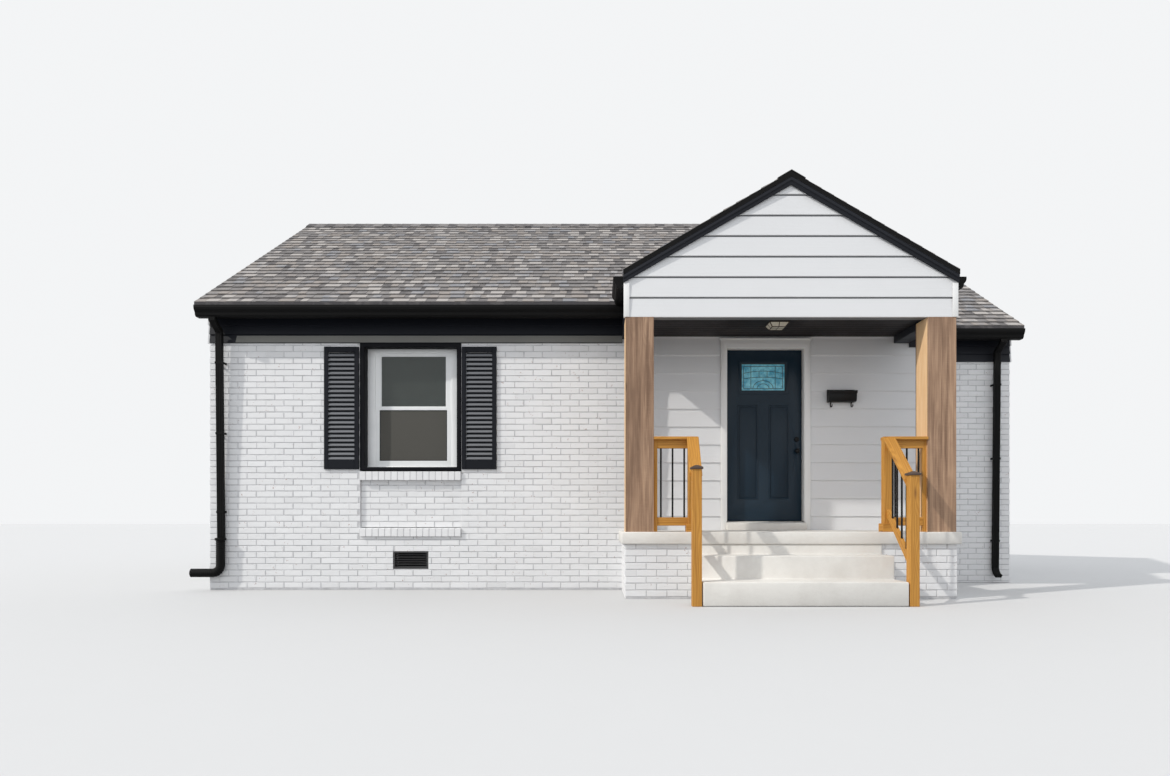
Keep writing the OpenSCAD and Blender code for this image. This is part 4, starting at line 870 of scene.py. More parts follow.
@dataclass(frozen=True)
class House:
    """Main sizes of the building, the same as in the CAD source."""

    main_w: float = 8.37
    main_d: float = 6.10
    house_w: float = 9.75
    wing_back: float = 1.0
    brick_h: float = 2.834
    entry_x: float = 4.87
    entry_y: float = 0.20
    entry_back: float = 0.340
    slope: float = 8 / 12
    eave_z: float = 3.240
    eave_over: float = 0.230
    rake_over: float = 0.060
    gable_proud: float = 0.030
    porch_x: float = 6.423
    post_out: float = 1.691
    porch_front: float = -0.92
    porch_half: float = 1.715
    porch_eave_z: float = 3.357
    porch_slope: float = 7 / 12
    porch_rake: float = 0.032
    stair_x: float = 6.388
    stair_half: float = 0.960
    slab_z: float = 0.684
    slab_t: float = 0.125

    @property
    def ridge_y(self) -> float:
        """Depth of the main ridge."""
        return self.main_d / 2

    @property
    def ridge_z(self) -> float:
        """Height of the main ridge."""
        return self.eave_z + self.slope * (self.ridge_y + self.eave_over)

    @property
    def wing_ridge_y(self) -> float:
        """Depth of the wing's ridge."""
        return (self.wing_back + self.main_d) / 2

    @property
    def wing_ridge_z(self) -> float:
        """Height of the wing's ridge."""
        return self.eave_z + self.slope * (self.wing_ridge_y - self.wing_back + self.eave_over)

    @property
    def porch_ridge_z(self) -> float:
        """Height of the porch's ridge."""
        return self.porch_eave_z + self.porch_slope * self.porch_half


@dataclass(frozen=True)
class Windows:
    """Places and sizes of the window and vent openings."""

    width: float = 1.162
    height: float = 1.465
    foot: float = 1.369
    sill_h: float = 0.110
    recess_h: float = 0.543
    recess_d: float = 0.035
    sill_out: float = 0.034
    low_sill_h: float = 0.102
    vent_w: float = 0.406
    vent_h: float = 0.203
    vent_foot: float = 0.241
    front_x: float = 2.303
    left_in: float = 1.5
    back_in: float = 1.9

    def places(self, h: House) -> list[tuple[float, float, Side]]:
        """Middle of each window on its wall's outer face, and the face.

        Args:
            h: Sizes of the house.

        Returns:
            Windows as (x, y, side).
        """
        return [(self.front_x, 0.0, Side.FRONT), (0.0, self.left_in, Side.LEFT),
                (0.0, h.main_d - self.left_in, Side.LEFT), (self.back_in, h.main_d, Side.BACK),
                (h.house_w / 2, h.main_d, Side.BACK), (h.house_w - self.back_in, h.main_d, Side.BACK),
                (h.house_w, h.wing_ridge_y, Side.RIGHT)]

    def vents(self, h: House) -> list[tuple[float, float, Side]]:
        """Middle of each foundation vent, in the same way.

        Args:
            h: Sizes of the house.

        Returns:
            Vents as (x, y, side).
        """
        between = (self.back_in + h.house_w / 2) / 2
        return [(self.front_x, 0.0, Side.FRONT), (0.0, h.main_d / 2, Side.LEFT), (between, h.main_d, Side.BACK),
                (h.house_w - between, h.main_d, Side.BACK), (h.house_w, h.wing_ridge_y, Side.RIGHT)]


SIZES = House()
OPENINGS = Windows()


# ---- Brickwork


@dataclass(frozen=True)
class BrickFace:
    """One plane of brickwork: where it starts, where it looks, and the rectangles left out of it."""

    name: str
    start: tuple[float, float]
    side: Side
    length: float
    top: float
    foot: float = 0.0
    first_half: bool = False
    wraps: bool = False
    openings: tuple[Rect, ...] = ()


@dataclass
class Brickwork:
    """Running-bond bricks that stand a little proud of the CAD walls' faces."""

    h: House = SIZES
    w: Windows = OPENINGS
    course: float = 0.0697
    stretcher: float = 0.212
    joint: float = 0.0095
    proud: float = 0.0055
    ease: float = 0.0025
    fault: float = 0.0016
    bed: float = 0.0005
    lowest_joint: float = 0.0192
    least: float = 0.022
    filled: float = 0.35

    def openings_on(self, side: Side, along: Callable[[float, float], float]) -> tuple[Rect, ...]:
        """Rectangles of windows, sills and vents on one face.

        Args:
            side: Face of the house.
            along: Turns a place on the wall into the distance along the face.

        Returns:
            Rectangles as (start, end, foot, top).
        """
        w = self.w
        rects = []
        for x, y, s in w.places(self.h):
            if s is side:
                u = along(x, y)
                rects.append((u - w.width / 2, u + w.width / 2, w.foot - w.sill_h, w.foot + w.height))
                if side is Side.FRONT:
                    low = w.foot - w.sill_h - w.recess_h
                    rects.append((u - w.width / 2, u + w.width / 2, low - w.low_sill_h, w.foot - w.sill_h))
        for x, y, s in w.vents(self.h):
            if s is side:
                u = along(x, y)
                rects.append((u - w.vent_w / 2, u + w.vent_w / 2, w.vent_foot, w.vent_foot + w.vent_h))
        return tuple(rects)

    def faces(self) -> list[BrickFace]:
        """All the faces of painted brick.

        Returns:
            Faces in the order of their seeds.
        """
        h, w = self.h, self.w
        recess_foot = w.foot - w.sill_h - w.recess_h
        base_top = h.slab_z - h.slab_t
        porch_left, porch_right = h.porch_x - h.post_out, h.porch_x + h.post_out
        steps = (h.stair_x - h.stair_half - porch_left, h.stair_x + h.stair_half - porch_left, 0.0, base_top)
        return [
            BrickFace("front_bricks", (0.0, 0.0), Side.FRONT, h.entry_x, h.brick_h, wraps=True,
                      openings=self.openings_on(Side.FRONT, lambda x, y: x)),
            BrickFace("recess_bricks", (w.front_x - w.width / 2, w.recess_d), Side.FRONT, w.width,
                      w.foot - w.sill_h, recess_foot),
            BrickFace("jog_bricks", (h.entry_x, 0.0), Side.RIGHT, h.entry_y, h.brick_h, first_half=True),
            BrickFace("left_bricks", (0.0, h.main_d), Side.LEFT, h.main_d, h.brick_h, first_half=True,
                      openings=self.openings_on(Side.LEFT, lambda x, y: h.main_d - y)),
            BrickFace("back_bricks", (h.house_w, h.main_d), Side.BACK, h.house_w, h.brick_h, wraps=True,
                      openings=self.openings_on(Side.BACK, lambda x, y: h.house_w - x)),
            BrickFace("right_bricks", (h.house_w, h.wing_back), Side.RIGHT, h.main_d - h.wing_back, h.brick_h,
                      first_half=True, openings=self.openings_on(Side.RIGHT, lambda x, y: y - h.wing_back)),
            BrickFace("wing_bricks", (h.main_w, h.wing_back), Side.FRONT, h.house_w - h.main_w, h.brick_h, wraps=True),
            BrickFace("return_bricks", (h.main_w, h.entry_back), Side.RIGHT, h.wing_back - h.entry_back, h.brick_h),
            BrickFace("entry_footing_bricks", (porch_right, h.entry_y), Side.FRONT, h.main_w - porch_right, h.slab_z),
            BrickFace("porch_bricks", (porch_left, h.porch_front), Side.FRONT, porch_right - porch_left, base_top,
                      wraps=True, openings=(steps,)),
            BrickFace("porch_left_bricks", (porch_left, 0.0), Side.LEFT, -h.porch_front, base_top, first_half=True),
            BrickFace("porch_right_bricks", (porch_right, h.porch_front), Side.RIGHT, h.entry_y - h.porch_front,
                      base_top, first_half=True),
        ]

    def without(self, brick: Rect, holes: Sequence[Rect]) -> list[Rect]:
        """Parts of a brick that are left beside the openings.

        Args:
            brick: Rectangle of the brick.
            holes: Rectangles of the openings.

        Returns:
            Parts that aren't too thin.
        """
        rest = [brick]
        for a, b, c, d in holes:
            cut = []
            for u0, u1, z0, z1 in rest:
                if a >= u1 or b <= u0 or c >= z1 or d <= z0:
                    cut.append((u0, u1, z0, z1))
                    continue
                cut += [(u0, a, z0, z1), (b, u1, z0, z1), (max(u0, a), min(u1, b), z0, c),
                        (max(u0, a), min(u1, b), d, z1)]
            rest = [r for r in cut if r[1] - r[0] > self.least and r[3] - r[2] > self.least]
        return rest

    def lay(self, face: BrickFace, rng: random.Random) -> Shape:
        """Lays the bricks of one face.

        Args:
            face: Face to lay.
            rng: Source of its chances.

        Returns:
            The bricks.
        """
        shape = Shape()
        wall = Wall(place(*face.start, 0.0), face.side)
        low, high = (-self.proud, face.length + self.proud) if face.wraps else (0.0, face.length)
        for row in range(-1, int(face.top / self.course) + 2):
            z0 = max(face.foot, self.lowest_joint + row * self.course + self.joint / 2)
            z1 = min(face.top, self.lowest_joint + (row + 1) * self.course - self.joint / 2)
            if z1 - z0 < self.least * 0.5:
                continue
            half = (row + face.first_half) % 2
            for k in range(-1, int(face.length / self.stretcher) + 2):
                u = k * self.stretcher + half * self.stretcher / 2
                filled = rng.random() < self.filled
                u0 = max(low, u + (self.joint / 2 if u > 0.01 else 0))
                u1 = min(high, u + self.stretcher + self.joint * (0.3 * filled - 0.5 * (not filled)))
                if u1 - u0 < self.least:
                    continue
                for part in self.without((u0, u1, z0, z1), face.openings):
                    self.brick(shape, wall, part, rng)
        return shape

    def brick(self, shape: Shape, wall: Wall, r: Rect, rng: random.Random) -> None:
        """Adds one brick face with eased edges and small faults of its own.

        Args:
            shape: Shape to add to.
            wall: Start of the wall's face.
            r: Rectangle of the brick.
            rng: Source of its faults and tone.
        """
        u0, u1, z0, z1 = (v + rng.uniform(-self.fault, self.fault) for v in r)
        r, depth = (u0, u1, max(z0, 0.0), z1), self.proud * rng.uniform(0.75, 1.0)
        base, top = ([wall.at(u, z, d) for u, z in corners(r, inset)]
                     for inset, d in ((0.0, -self.bed), (self.ease, depth)))
        shape.frustum(base, top, rng.random())

    def build(self) -> None:
        """Makes the bricks of every face and paints the walls behind them in the joints' grey, which is painted shade
        between the bricks.
        """
        for i, face in enumerate(self.faces()):
            self.lay(face, random.Random(100 + i)).piece(face.name, BRICK, slot="brick")
        dressed(SHADED_JOINT, "front_wall", "left_wall", "back_wall", "right_wall", "wing_front_wall", "entry_foundation",
                "porch_base")
        self.rowlocks()

    def rowlocks(self) -> None:
        """Makes the sills of bricks on edge, with their bed of mortar in the joints' grey of painted shade."""
        w, shape, rng = self.w, Shape(), random.Random(7)
        sills = [(x, y, s, w.foot, w.sill_h) for x, y, s in w.places(self.h)]
        sills.append((w.front_x, 0.0, Side.FRONT, w.foot - w.sill_h - w.recess_h, w.low_sill_h))
        count, fall, gap, root = 16, 0.010, 0.0045, -0.09
        start, pitch = -w.width / 2, w.width / count
        bricks = [(0, start + i * pitch + gap, start + (i + 1) * pitch - gap, 0.0) for i in range(count)]
        for x, y, side, top, height in sills:
            wall = Wall(place(x, y, top), side)
            for kind, first, last, grow in ((1, start, w.width / 2, -0.004), *bricks):
                shape.kind = kind
                front = w.sill_out + grow + rng.uniform(-0.001, 0.001) * (1 - kind)
                outline = [(root, -height - grow), (front - 0.003, -height - grow), (front, -height - grow + 0.003),
                           (front, -fall - 0.003 + grow), (front - 0.004, -fall + grow), (root, grow)]
                shape.prism([wall.at(first, b, a) for a, b in outline], side.run * (last - first), rng.random())
        shape.piece("rowlock_sills", [BRICK, SHADED_JOINT], replaces=["brick_sills"], slot="brick")


# ---- Roofs


@dataclass(frozen=True)
class Slope:
    """One roof plane: its eave's start, its length up the roof, and a row's ends for each height."""

    name: str
    eave: Vector
    rows: float
    span: Callable[[float], tuple[float, float]]
    along: Vector
    up: Vector


@dataclass
class Shingling:
    """Laminated shingles in courses, their tabs of random width and blend."""

    h: House = SIZES
    exposure: float = 0.143
    butt: float = 0.0060
    tab: float = 0.0050
    gap_widths: tuple[float, float] = (0.05, 0.15)
    tab_widths: tuple[float, float] = (0.07, 0.19)
    lap: float = 0.002
    least: float = 0.004
    vent_w: float = 0.138
    vent_h: float = 0.013
    cap_w: float = 0.145
    cap_t: float = 0.005
    cap_pitch: float = 0.146
    cap_lap: float = 0.45
    cap_butt: float = 0.0195
    cap_head: float = 0.0150

    def slopes(self) -> list[Slope]:
        """The five planes of the roofs.

        Returns:
            Planes in the order of their seeds.
        """
        h = self.h
        rise_y = 1 / math.hypot(1, h.slope)
        up_front = Vector((0, 1, h.slope)).normalized()
        up_back = Vector((0, -1, h.slope)).normalized()
        right = h.main_w + h.rake_over
        far = h.house_w + h.rake_over
        wing_rows = (h.wing_ridge_y - h.wing_back + h.eave_over) / rise_y

        def back_span(s: float) -> tuple[float, float]:
            """Ends of a row; above the wing's ridge it starts at the main block."""
            return (0.0, far + h.rake_over) if s < wing_rows else (far - right, far + h.rake_over)

        front = h.porch_front - h.porch_rake
        porch_run = math.hypot(1, h.porch_slope)
        porch_rows, back_end = h.porch_half * porch_run, 4.0

        def valley(s: float) -> float:
            """Depth at which the porch roof dies into the main slope."""
            return (h.porch_eave_z + s * h.porch_slope / porch_run - h.eave_z) / h.slope - h.eave_over

        rows = (h.ridge_y + h.eave_over) / rise_y
        wing_left = h.main_w + h.gable_proud
        return [
            Slope("front_shingles", place(-h.rake_over, -h.eave_over, h.eave_z), rows,
                  lambda s: (0.0, right + h.rake_over), Vector((1, 0, 0)), up_front),
            Slope("wing_shingles", place(wing_left, h.wing_back - h.eave_over, h.eave_z), wing_rows,
                  lambda s: (0.0, far - wing_left), Vector((1, 0, 0)), up_front),
            Slope("back_shingles", place(far, h.main_d + h.eave_over, h.eave_z), rows, back_span,
                  Vector((-1, 0, 0)), up_back),
            Slope("porch_left_shingles", place(h.porch_x - h.porch_half, front + back_end, h.porch_eave_z), porch_rows,
                  lambda s: (back_end + front - valley(s) - 0.01, back_end), Vector((0, -1, 0)),
                  Vector((1, 0, h.porch_slope)).normalized()),
            Slope("porch_right_shingles", place(h.porch_x + h.porch_half, front, h.porch_eave_z), porch_rows,
                  lambda s: (0.0, valley(s) - front + 0.01), Vector((0, 1, 0)),
                  Vector((-1, 0, h.porch_slope)).normalized()),
        ]

    def lay(self, slope: Slope, rng: random.Random) -> Shape:
        """Lays the courses of one plane.

        Args:
            slope: Plane to lay.
            rng: Source of its chances.

        Returns:
            The shingles.
        """
        shape = Shape()
        out = slope.along.cross(slope.up)
        rows = int(slope.rows / self.exposure)
        step = slope.rows / (rows + 0.35)
        for row in range(rows + 1):
            s = row * step
            top = min(slope.rows, s + step) + self.lap
            u, b = slope.span(s)
            while u < b - self.least:
                # The strip between tabs takes the darker tones: partly the darker lower layer of laminated shingles,
                # partly painted shade between the tabs.
                gap = min(b, u + rng.uniform(*self.gap_widths))
                self.shake(shape, slope, out, (u, gap, s, top), 0.0, self.butt, 0.09 + 0.38 * rng.random())
                u = gap
                tab = min(b, u + rng.uniform(*self.tab_widths))
                if tab - u > self.least:
                    self.shake(shape, slope, out, (u, tab, s - 0.003 * (row > 0), top), 0.001,
                               self.butt + self.tab * rng.uniform(0.8, 1.1), 0.25 + 0.74 * rng.random())
                    u = tab
        return shape

    def shake(self, shape: Shape, slope: Slope, out: Vector, r: Rect, head: float, foot: float, tone: float) -> None:
        """Adds one tab that thickens to its butt.

        Args:
            shape: Shape to add to.
            slope: Plane that it lies on.
            out: Normal of the plane.
            r: Its start, end, butt line and head.
            head: Lift of its head.
            foot: Thickness at its butt.
            tone: Shade that picks its blend.
        """
        u0, u1, _, _ = r
        low, high = ([slope.eave + slope.along * u + slope.up * s + out * d for (u, s), d in zip(corners(r), depths)]
                     for depths in ((0, 0, 0, 0), (foot, foot, head + 0.0008, head + 0.0008)))
        grain = [(u, float(i in (2, 3, 6, 7)), 1.0) for i, u in enumerate((u0, u1, u1, u0) * 2)]
        shape.add([*low, *high], [(4, 5, 6, 7), (0, 1, 5, 4), (1, 2, 6, 5), (3, 0, 4, 7)], tone, grain)

    def caps(self) -> None:
        """Makes the bent caps that lap each other along the ridges."""
        h, shape, rng = self.h, Shape(), random.Random(31)
        front, top = h.porch_front - h.porch_rake, h.porch_ridge_z
        reach = (top - h.eave_z) / h.slope - h.eave_over - front
        ridges = [(place(-h.rake_over, h.ridge_y, h.ridge_z), Vector((1, 0, 0)), h.main_w + 2 * h.rake_over, h.slope),
                  (place(h.main_w + h.rake_over, h.wing_ridge_y, h.wing_ridge_z), Vector((1, 0, 0)),
                   h.house_w - h.main_w, h.slope),
                  (place(h.porch_x, front, top), Vector((0, 1, 0)), reach, h.porch_slope)]
        for start, along, length, fall in ridges:
            across, wing = lift(1).cross(along), lift(-fall)
            fold = [across + wing, Vector(), wing - across]

            def ring(p: Vector, wide: float, high: float, low: float) -> list[Vector]:
                """Section of a bent cap over a point."""
                points = [p + v * wide + lift(high) for v in fold] + [p + v * wide + lift(low) for v in fold[::-1]]
                return points[::-1]

            shape.kind = 1
            shape.tube([ring(end, self.vent_w, self.vent_h, 0.0) for end in (start, start + along * length)])
            shape.kind = 0
            count = round(length / self.cap_pitch)
            pitch = length / count
            for i in range(count):
                a, b = start + along * (i * pitch), start + along * min(length, (i + 1 + self.cap_lap) * pitch)
                w = self.cap_w + rng.uniform(-0.003, 0.003)
                shape.tube([ring(p, w, d, d - self.cap_t) for p, d in ((a, self.cap_butt), (b, self.cap_head))],
                           tone=0.02 + 0.25 * rng.random())
        shape.piece("ridge_cap_shingles", [GRIT, GUTTER], replaces=["ridge_caps"], slot="shingle")

    def build(self) -> None:
        """Shingles every plane and caps the ridges."""
        for i, slope in enumerate(self.slopes()):
            self.lay(slope, random.Random(500 + i)).piece(slope.name, GRIT, slot="shingle")
        for node, axis in (("roof_front", 0), ("roof_back", 0), ("wing_roof", 0), ("porch_roof", 1)):
            copied(node, [GRIT, GUTTER], second=lambda normal, axis=axis: abs(normal[axis]) > 0.9)
        self.caps()


# ---- Windows and shutters


@dataclass
class SashWindows:
    """Surrounds, frames, sashes, panes and half screens of all the windows."""

    w: Windows = OPENINGS
    h: House = SIZES
    trim_side: float = 0.050
    trim_head: float = 0.041
    frame_in: float = 0.115
    frame_side: float = 0.088
    frame_top: float = 0.050
    frame_foot: float = 0.022
    frame_d: float = 0.085
    sash_t: float = 0.028
    stile: float = 0.060
    top_rail: float = 0.026
    meeting: float = 0.038
    foot_rail: float = 0.060
    bead: float = 0.008
    screen_rim: float = 0.010
    screen_edge: float = 0.050

    def build(self) -> None:
        """Eases the CAD shapes and makes the sashes, the panes and the screens."""
        softened(SURROUND_PAINT, 0.004, "window_trim", slot="dark_trim")
        softened(VINYL, 0.003, "window_frames", slot="window_vinyl")
        dressed(VENT_METAL, "foundation_vents")
        half = self.w.width / 2 - self.trim_side - self.frame_side
        foot = self.trim_head + self.frame_foot
        head = self.w.height - self.trim_head - self.frame_top
        middle = foot + (head - foot) / 2 + 0.014
        upper = self.frame_in + (self.frame_d - 2 * self.sash_t - 0.002) / 2
        lower = upper + self.sash_t + 0.002
        sashes, panes, screens = Shape(), Shape(), Shape()
        for x, y, side in self.w.places(self.h):
            wall = Wall(place(x, y, self.w.foot), side)
            self.sash(sashes, panes, wall, (-half, half, middle - self.meeting / 2, head), upper,
                      (self.meeting, self.top_rail))
            self.sash(sashes, panes, wall, (-half, half, foot, middle + self.meeting / 2), lower,
                      (self.foot_rail, self.meeting))
            self.screen(screens, wall, (-half, half, foot, middle - self.meeting / 2))
        sashes.piece("sash_frames", VINYL, replaces=["window_sashes"], slot="window_vinyl")
        panes.piece("sash_panes", GLASS, replaces=["window_glass"], slot="window_glass")
        screens.piece("window_screens", [SCREEN_RIM, SCREEN, VINYL], slot="window_vinyl")

    def bar(self, shape: Shape, wall: Wall, r: Rect, near: float, thick: float, ease: float = 0.0) -> None:
        """Adds an upright block with eased front edges.

        Args:
            shape: Shape to add to.
            wall: Middle of the opening's foot on the wall's face.
            r: Its start, end, foot and top.
            near: Distance of its front behind the wall's face.
            thick: Its depth.
            ease: Size of the eased edges.
        """
        def ring(inset: float, depth: float) -> list[Vector]:
            """Corners drawn in, at a depth behind the face."""
            return [wall.at(u, z, -depth) for u, z in corners(r, inset)]

        if ease:
            shape.frustum(ring(0, near + ease), ring(ease, near))
        shape.prism(ring(0, near + ease), wall.side.normal * (ease - thick))

    def sash(self, frames: Shape, panes: Shape, wall: Wall, r: Rect, near: float, rails: tuple[float, float]) -> None:
        """Adds one sash: stiles, rails, a glazing bead all round and its pane.

        Args:
            frames: Shape that the frame goes to.
            panes: Shape that the pane goes to.
            wall: Middle of the opening's foot on the wall's face.
            r: Its start, end, foot and top.
            near: Distance of its front behind the wall's face.
            rails: Heights of its lower and upper rail.
        """
        a, b, c, d = r
        s, t, bead = self.stile, self.sash_t, self.bead
        for rect in border(r, s, *rails):
            self.bar(frames, wall, rect, near, t, 0.003)
        g0, g1, h0, h1 = a + s, b - s, c + rails[0], d - rails[1]
        for rect in border((g0, g1, h0, h1), bead, bead, bead):
            self.bar(frames, wall, rect, near + 0.006, t - 0.012, 0.002)
        self.bar(panes, wall, (g0 + bead / 2, g1 - bead / 2, h0 + bead / 2, h1 - bead / 2), near + 0.011, 0.006)

    def screen(self, shape: Shape, wall: Wall, r: Rect) -> None:
        """Adds the screen in front of a lower sash, over its white foot rail.

        Args:
            shape: Shape to add to.
            wall: Middle of the opening's foot on the wall's face.
            r: Its start, end, foot and top.
        """
        a, b, c, d = r
        near, rim, edge = self.frame_in + 0.004, self.screen_rim, self.screen_edge
        shape.kind = 2
        for rect in border(r, edge, self.foot_rail, 0.0)[:3]:
            self.bar(shape, wall, rect, near, 0.012, 0.002)
        g0, g1, low = a + edge, b - edge, c + self.foot_rail
        shape.kind = 0
        for rect in border((g0, g1, low, d), rim, rim, rim):
            self.bar(shape, wall, rect, near + 0.002, 0.008, 0.001)
        shape.kind = 1
        self.bar(shape, wall, (g0 + rim, g1 - rim, low + rim, d - rim), near + 0.005, 0.001)


@dataclass
class Shutter:
    """A louvred shutter: frame, louvres tilted out at their foot, and a shadow board behind."""

    left: float
    node: str
    foot: float = 1.385
    width: float = 0.396
    height: float = 1.404
    depth: float = 0.032
    stile: float = 0.048
    head: float = 0.062
    bottom: float = 0.108
    louvres: int = 24
    ease: float = 0.003
    panel_y: float = -0.006

    def build(self) -> None:
        """Makes the shutter in place of its CAD node."""
        shape = Shape()
        w, hgt, d, e = self.width, self.height, self.depth, self.ease

        def block(r: Rect, front: float) -> None:
            """Adds a block with eased front edges.

            Args:
                r: Its start, end, foot and top within the shutter.
                front: Where its front lies; its back lies on the wall's face.
            """
            back, mid, top = ([place(self.left + x, y, self.foot + z) for x, z in corners(r, inset)]
                              for inset, y in ((0.0, 0.0), (0.0, front + e), (e, front)))
            shape.add([*back, *mid], [(0, 1, 5, 4), (1, 2, 6, 5), (2, 3, 7, 6), (3, 0, 4, 7), (3, 2, 1, 0)])
            shape.frustum(mid, top)

        s, low, high = self.stile, self.bottom, hgt - self.head
        for r, front in (((0, s, 0, hgt), -d), ((w - s, w, 0, hgt), -d), ((s, w - s, high, hgt), -d + 0.002),
                         ((s, w - s, 0, low), -d + 0.002), ((s, w - s, low, high), self.panel_y)):
            block(r, front)
        pitch = (hgt - self.head - self.bottom) / self.louvres
        # The louvres take the lighter charcoal, a painted sheen of the sky.
        shape.kind = 1
        for i in range(self.louvres):
            z = low + i * pitch
            outline = [(-d + 0.003, z + 0.008), (-d + 0.005, z + 0.003), (-d + 0.009, z + 0.002),
                       (-0.008, z + pitch * 0.56), (-0.008, z + pitch * 0.64), (-0.012, z + pitch * 0.64)]
            points = [place(self.left + s - 0.001, y, self.foot + up) for y, up in outline]
            shape.prism(points, Vector((w - 2 * s + 0.002, 0, 0)))
        shape.piece(self.node + "_louvred", [SHUTTER_PAINT, LOUVRE_SHEEN_PAINT], replaces=[self.node], slot="dark_trim")


# ---- Gutters and drains


@dataclass
class RainGoods:
    """Fluted downspouts with straps, and the ribbed elbow that carries the water off."""

    h: House = SIZES
    width: float = 0.076
    depth: float = 0.051
    out: float = 0.2375
    top: float = 3.069
    wall_gap: float = 0.022
    spout_x: float = 0.150
    wing_spout_x: float = 0.205
    stub: float = 0.015
    drop: float = 0.100
    fold: float = 0.025
    lean: float = 0.045
    collar_z: float = 0.600
    elbow_y: float = -0.063
    elbow_z: float = 0.200
    elbow_reach: float = 0.180
    elbow_r: float = 0.050
    bend_r: float = 0.090
    strap_h: float = 0.025
    strap_t: float = 0.003
    rib: float = 0.022
    rib_r: float = 0.0025
    shoe_foot: float = 0.060
    shoe_h: float = 0.130

    def section(self) -> list[tuple[float, float]]:
        """Outline of the fluted pipe as (along the wall, out of the wall).

        Returns:
            Corners in order.
        """
        w, d, f = self.width / 2, self.depth / 2, 0.0035
        front = [(-w + 0.006, -d), (-w * 0.62, -d), (-w * 0.50, -d + f), (-w * 0.38, -d), (-w * 0.12, -d),
                 (0.0, -d + f), (w * 0.12, -d), (w * 0.38, -d), (w * 0.50, -d + f), (w * 0.62, -d), (w - 0.006, -d)]
        right = [(w, -d + 0.006), (w, -d * 0.30), (w - f, 0.0), (w, d * 0.30), (w, d - 0.006)]
        return front + right + [(-a, -b) for a, b in front] + [(-a, -b) for a, b in right]

    def pipe(self, shape: Shape, wall: Wall, foot: float) -> None:
        """Adds one leaning pipe with the offset under its gutter and its straps.

        Args:
            shape: Shape to add to.
            wall: Point on the wall's face at ground level behind the pipe's middle.
            foot: Height where it ends.
        """
        near = self.wall_gap + self.depth / 2
        neck = self.top - self.stub - self.drop
        rings = []
        for z, reach, fold in ((foot, near, 0.0), (neck, near + self.lean, self.fold),
                               (self.top - self.stub, self.out, self.fold), (self.top, self.out, 0.0)):
            rings.append([wall.at(a, z - fold * (0.5 - b / self.depth), reach - b) for a, b in self.section()])
        shape.tube([r[::-1] for r in rings])
        for share in (0.12, 0.5, 0.84):
            z = foot + share * (neck - foot)
            a, b, t = self.width / 2, self.wall_gap + self.lean * share + self.depth, self.strap_t
            band = [(-a - t, 0.0), (-a, 0.0), (-a, b), (a, b), (a, 0.0), (a + t, 0.0), (a + t, b + t), (-a - t, b + t)]
            points = [wall.at(u, z, v) for u, v in band]
            for quad in ((0, 1, 2, 7), (2, 3, 6, 7), (3, 4, 5, 6)):
                shape.prism([points[i] for i in quad][::-1], lift(self.strap_h))

    def shoe(self, shape: Shape, wall: Wall) -> None:
        """Adds the shoe that turns a pipe's foot away from the wall.

        Args:
            shape: Shape to add to.
            wall: Point on the wall's face at ground level behind the pipe's middle.
        """
        f, rings = self.shoe_foot, []
        for reach, z, tilt in ((0.0475, f + self.shoe_h, 0.0), (0.060, f + 0.085, 0.35), (0.095, f + 0.045, 0.8),
                               (0.135, f + 0.026, 0.8)):
            rings.append([wall.at(a, z - b * math.sin(tilt), reach - b * math.cos(tilt)) for a, b in self.section()])
        shape.tube(rings)

    def downspouts(self) -> None:
        """Makes the four downspouts."""
        h, shape = self.h, Shape()
        self.pipe(shape, Wall(place(self.spout_x, 0.0, 0.0), Side.FRONT), self.collar_z)
        for x, y, side in ((h.house_w - self.wing_spout_x, h.wing_back, Side.FRONT),
                           (self.spout_x, h.main_d, Side.BACK), (h.house_w - self.spout_x, h.main_d, Side.BACK)):
            wall = Wall(place(x, y, 0.0), side)
            self.pipe(shape, wall, self.shoe_foot + self.shoe_h)
            self.shoe(shape, wall)
        shape.piece("fluted_downspouts", GUTTER, replaces=["downspouts"], slot="gutter_metal", smooth=30)

    def elbow(self) -> None:
        """Makes the collar and the ribbed tube that bends out past the corner."""
        shape, y = Shape(), self.elbow_y
        down = self.collar_z - self.elbow_z - self.bend_r
        bend = self.bend_r * math.pi / 2
        total = down + bend + self.spout_x - self.bend_r + self.elbow_reach
        ribs, per_rib, sides = round(total / self.rib), 6, 28
        angles = [2 * math.pi * k / sides for k in range(sides)]
        rings = []
        for i in range(ribs * per_rib + 1):
            t = total * i / (ribs * per_rib)
            turn = max(0.0, min(math.pi / 2, (t - down) / self.bend_r))
            if t < down:
                x, z = self.spout_x, self.collar_z - t
            elif t < down + bend:
                x = self.spout_x - self.bend_r * (1 - math.cos(turn))
                z = self.elbow_z + self.bend_r * (1 - math.sin(turn))
            else:
                x, z = self.spout_x - self.bend_r - (t - down - bend), self.elbow_z
            r = self.elbow_r - self.rib_r + self.rib_r * math.cos(2 * math.pi * i / per_rib)
            rings.append([place(x + r * math.cos(a) * math.cos(turn), y + r * math.sin(a),
                                z - r * math.cos(a) * math.sin(turn)) for a in angles])
        mouth = rings[-1]
        centre = sum(mouth, Vector()) / sides
        inner = [centre + (p - centre) * 0.82 for p in mouth]
        deep = [p + Vector((0.08, 0, 0)) for p in inner]
        shape.tube([*(r[::-1] for r in rings), inner[::-1], deep[::-1]])
        shape.tube([[place(self.spout_x + r * math.cos(a), y + r * math.sin(a), self.collar_z - z) for a in angles]
                    for r, z in ((0.056, 0.030), (0.060, 0.026), (0.060, 0.003), (0.057, 0.0))])
        shape.piece("ribbed_elbow", GUTTER, replaces=["drain_elbow"], slot="gutter_metal", smooth=50)

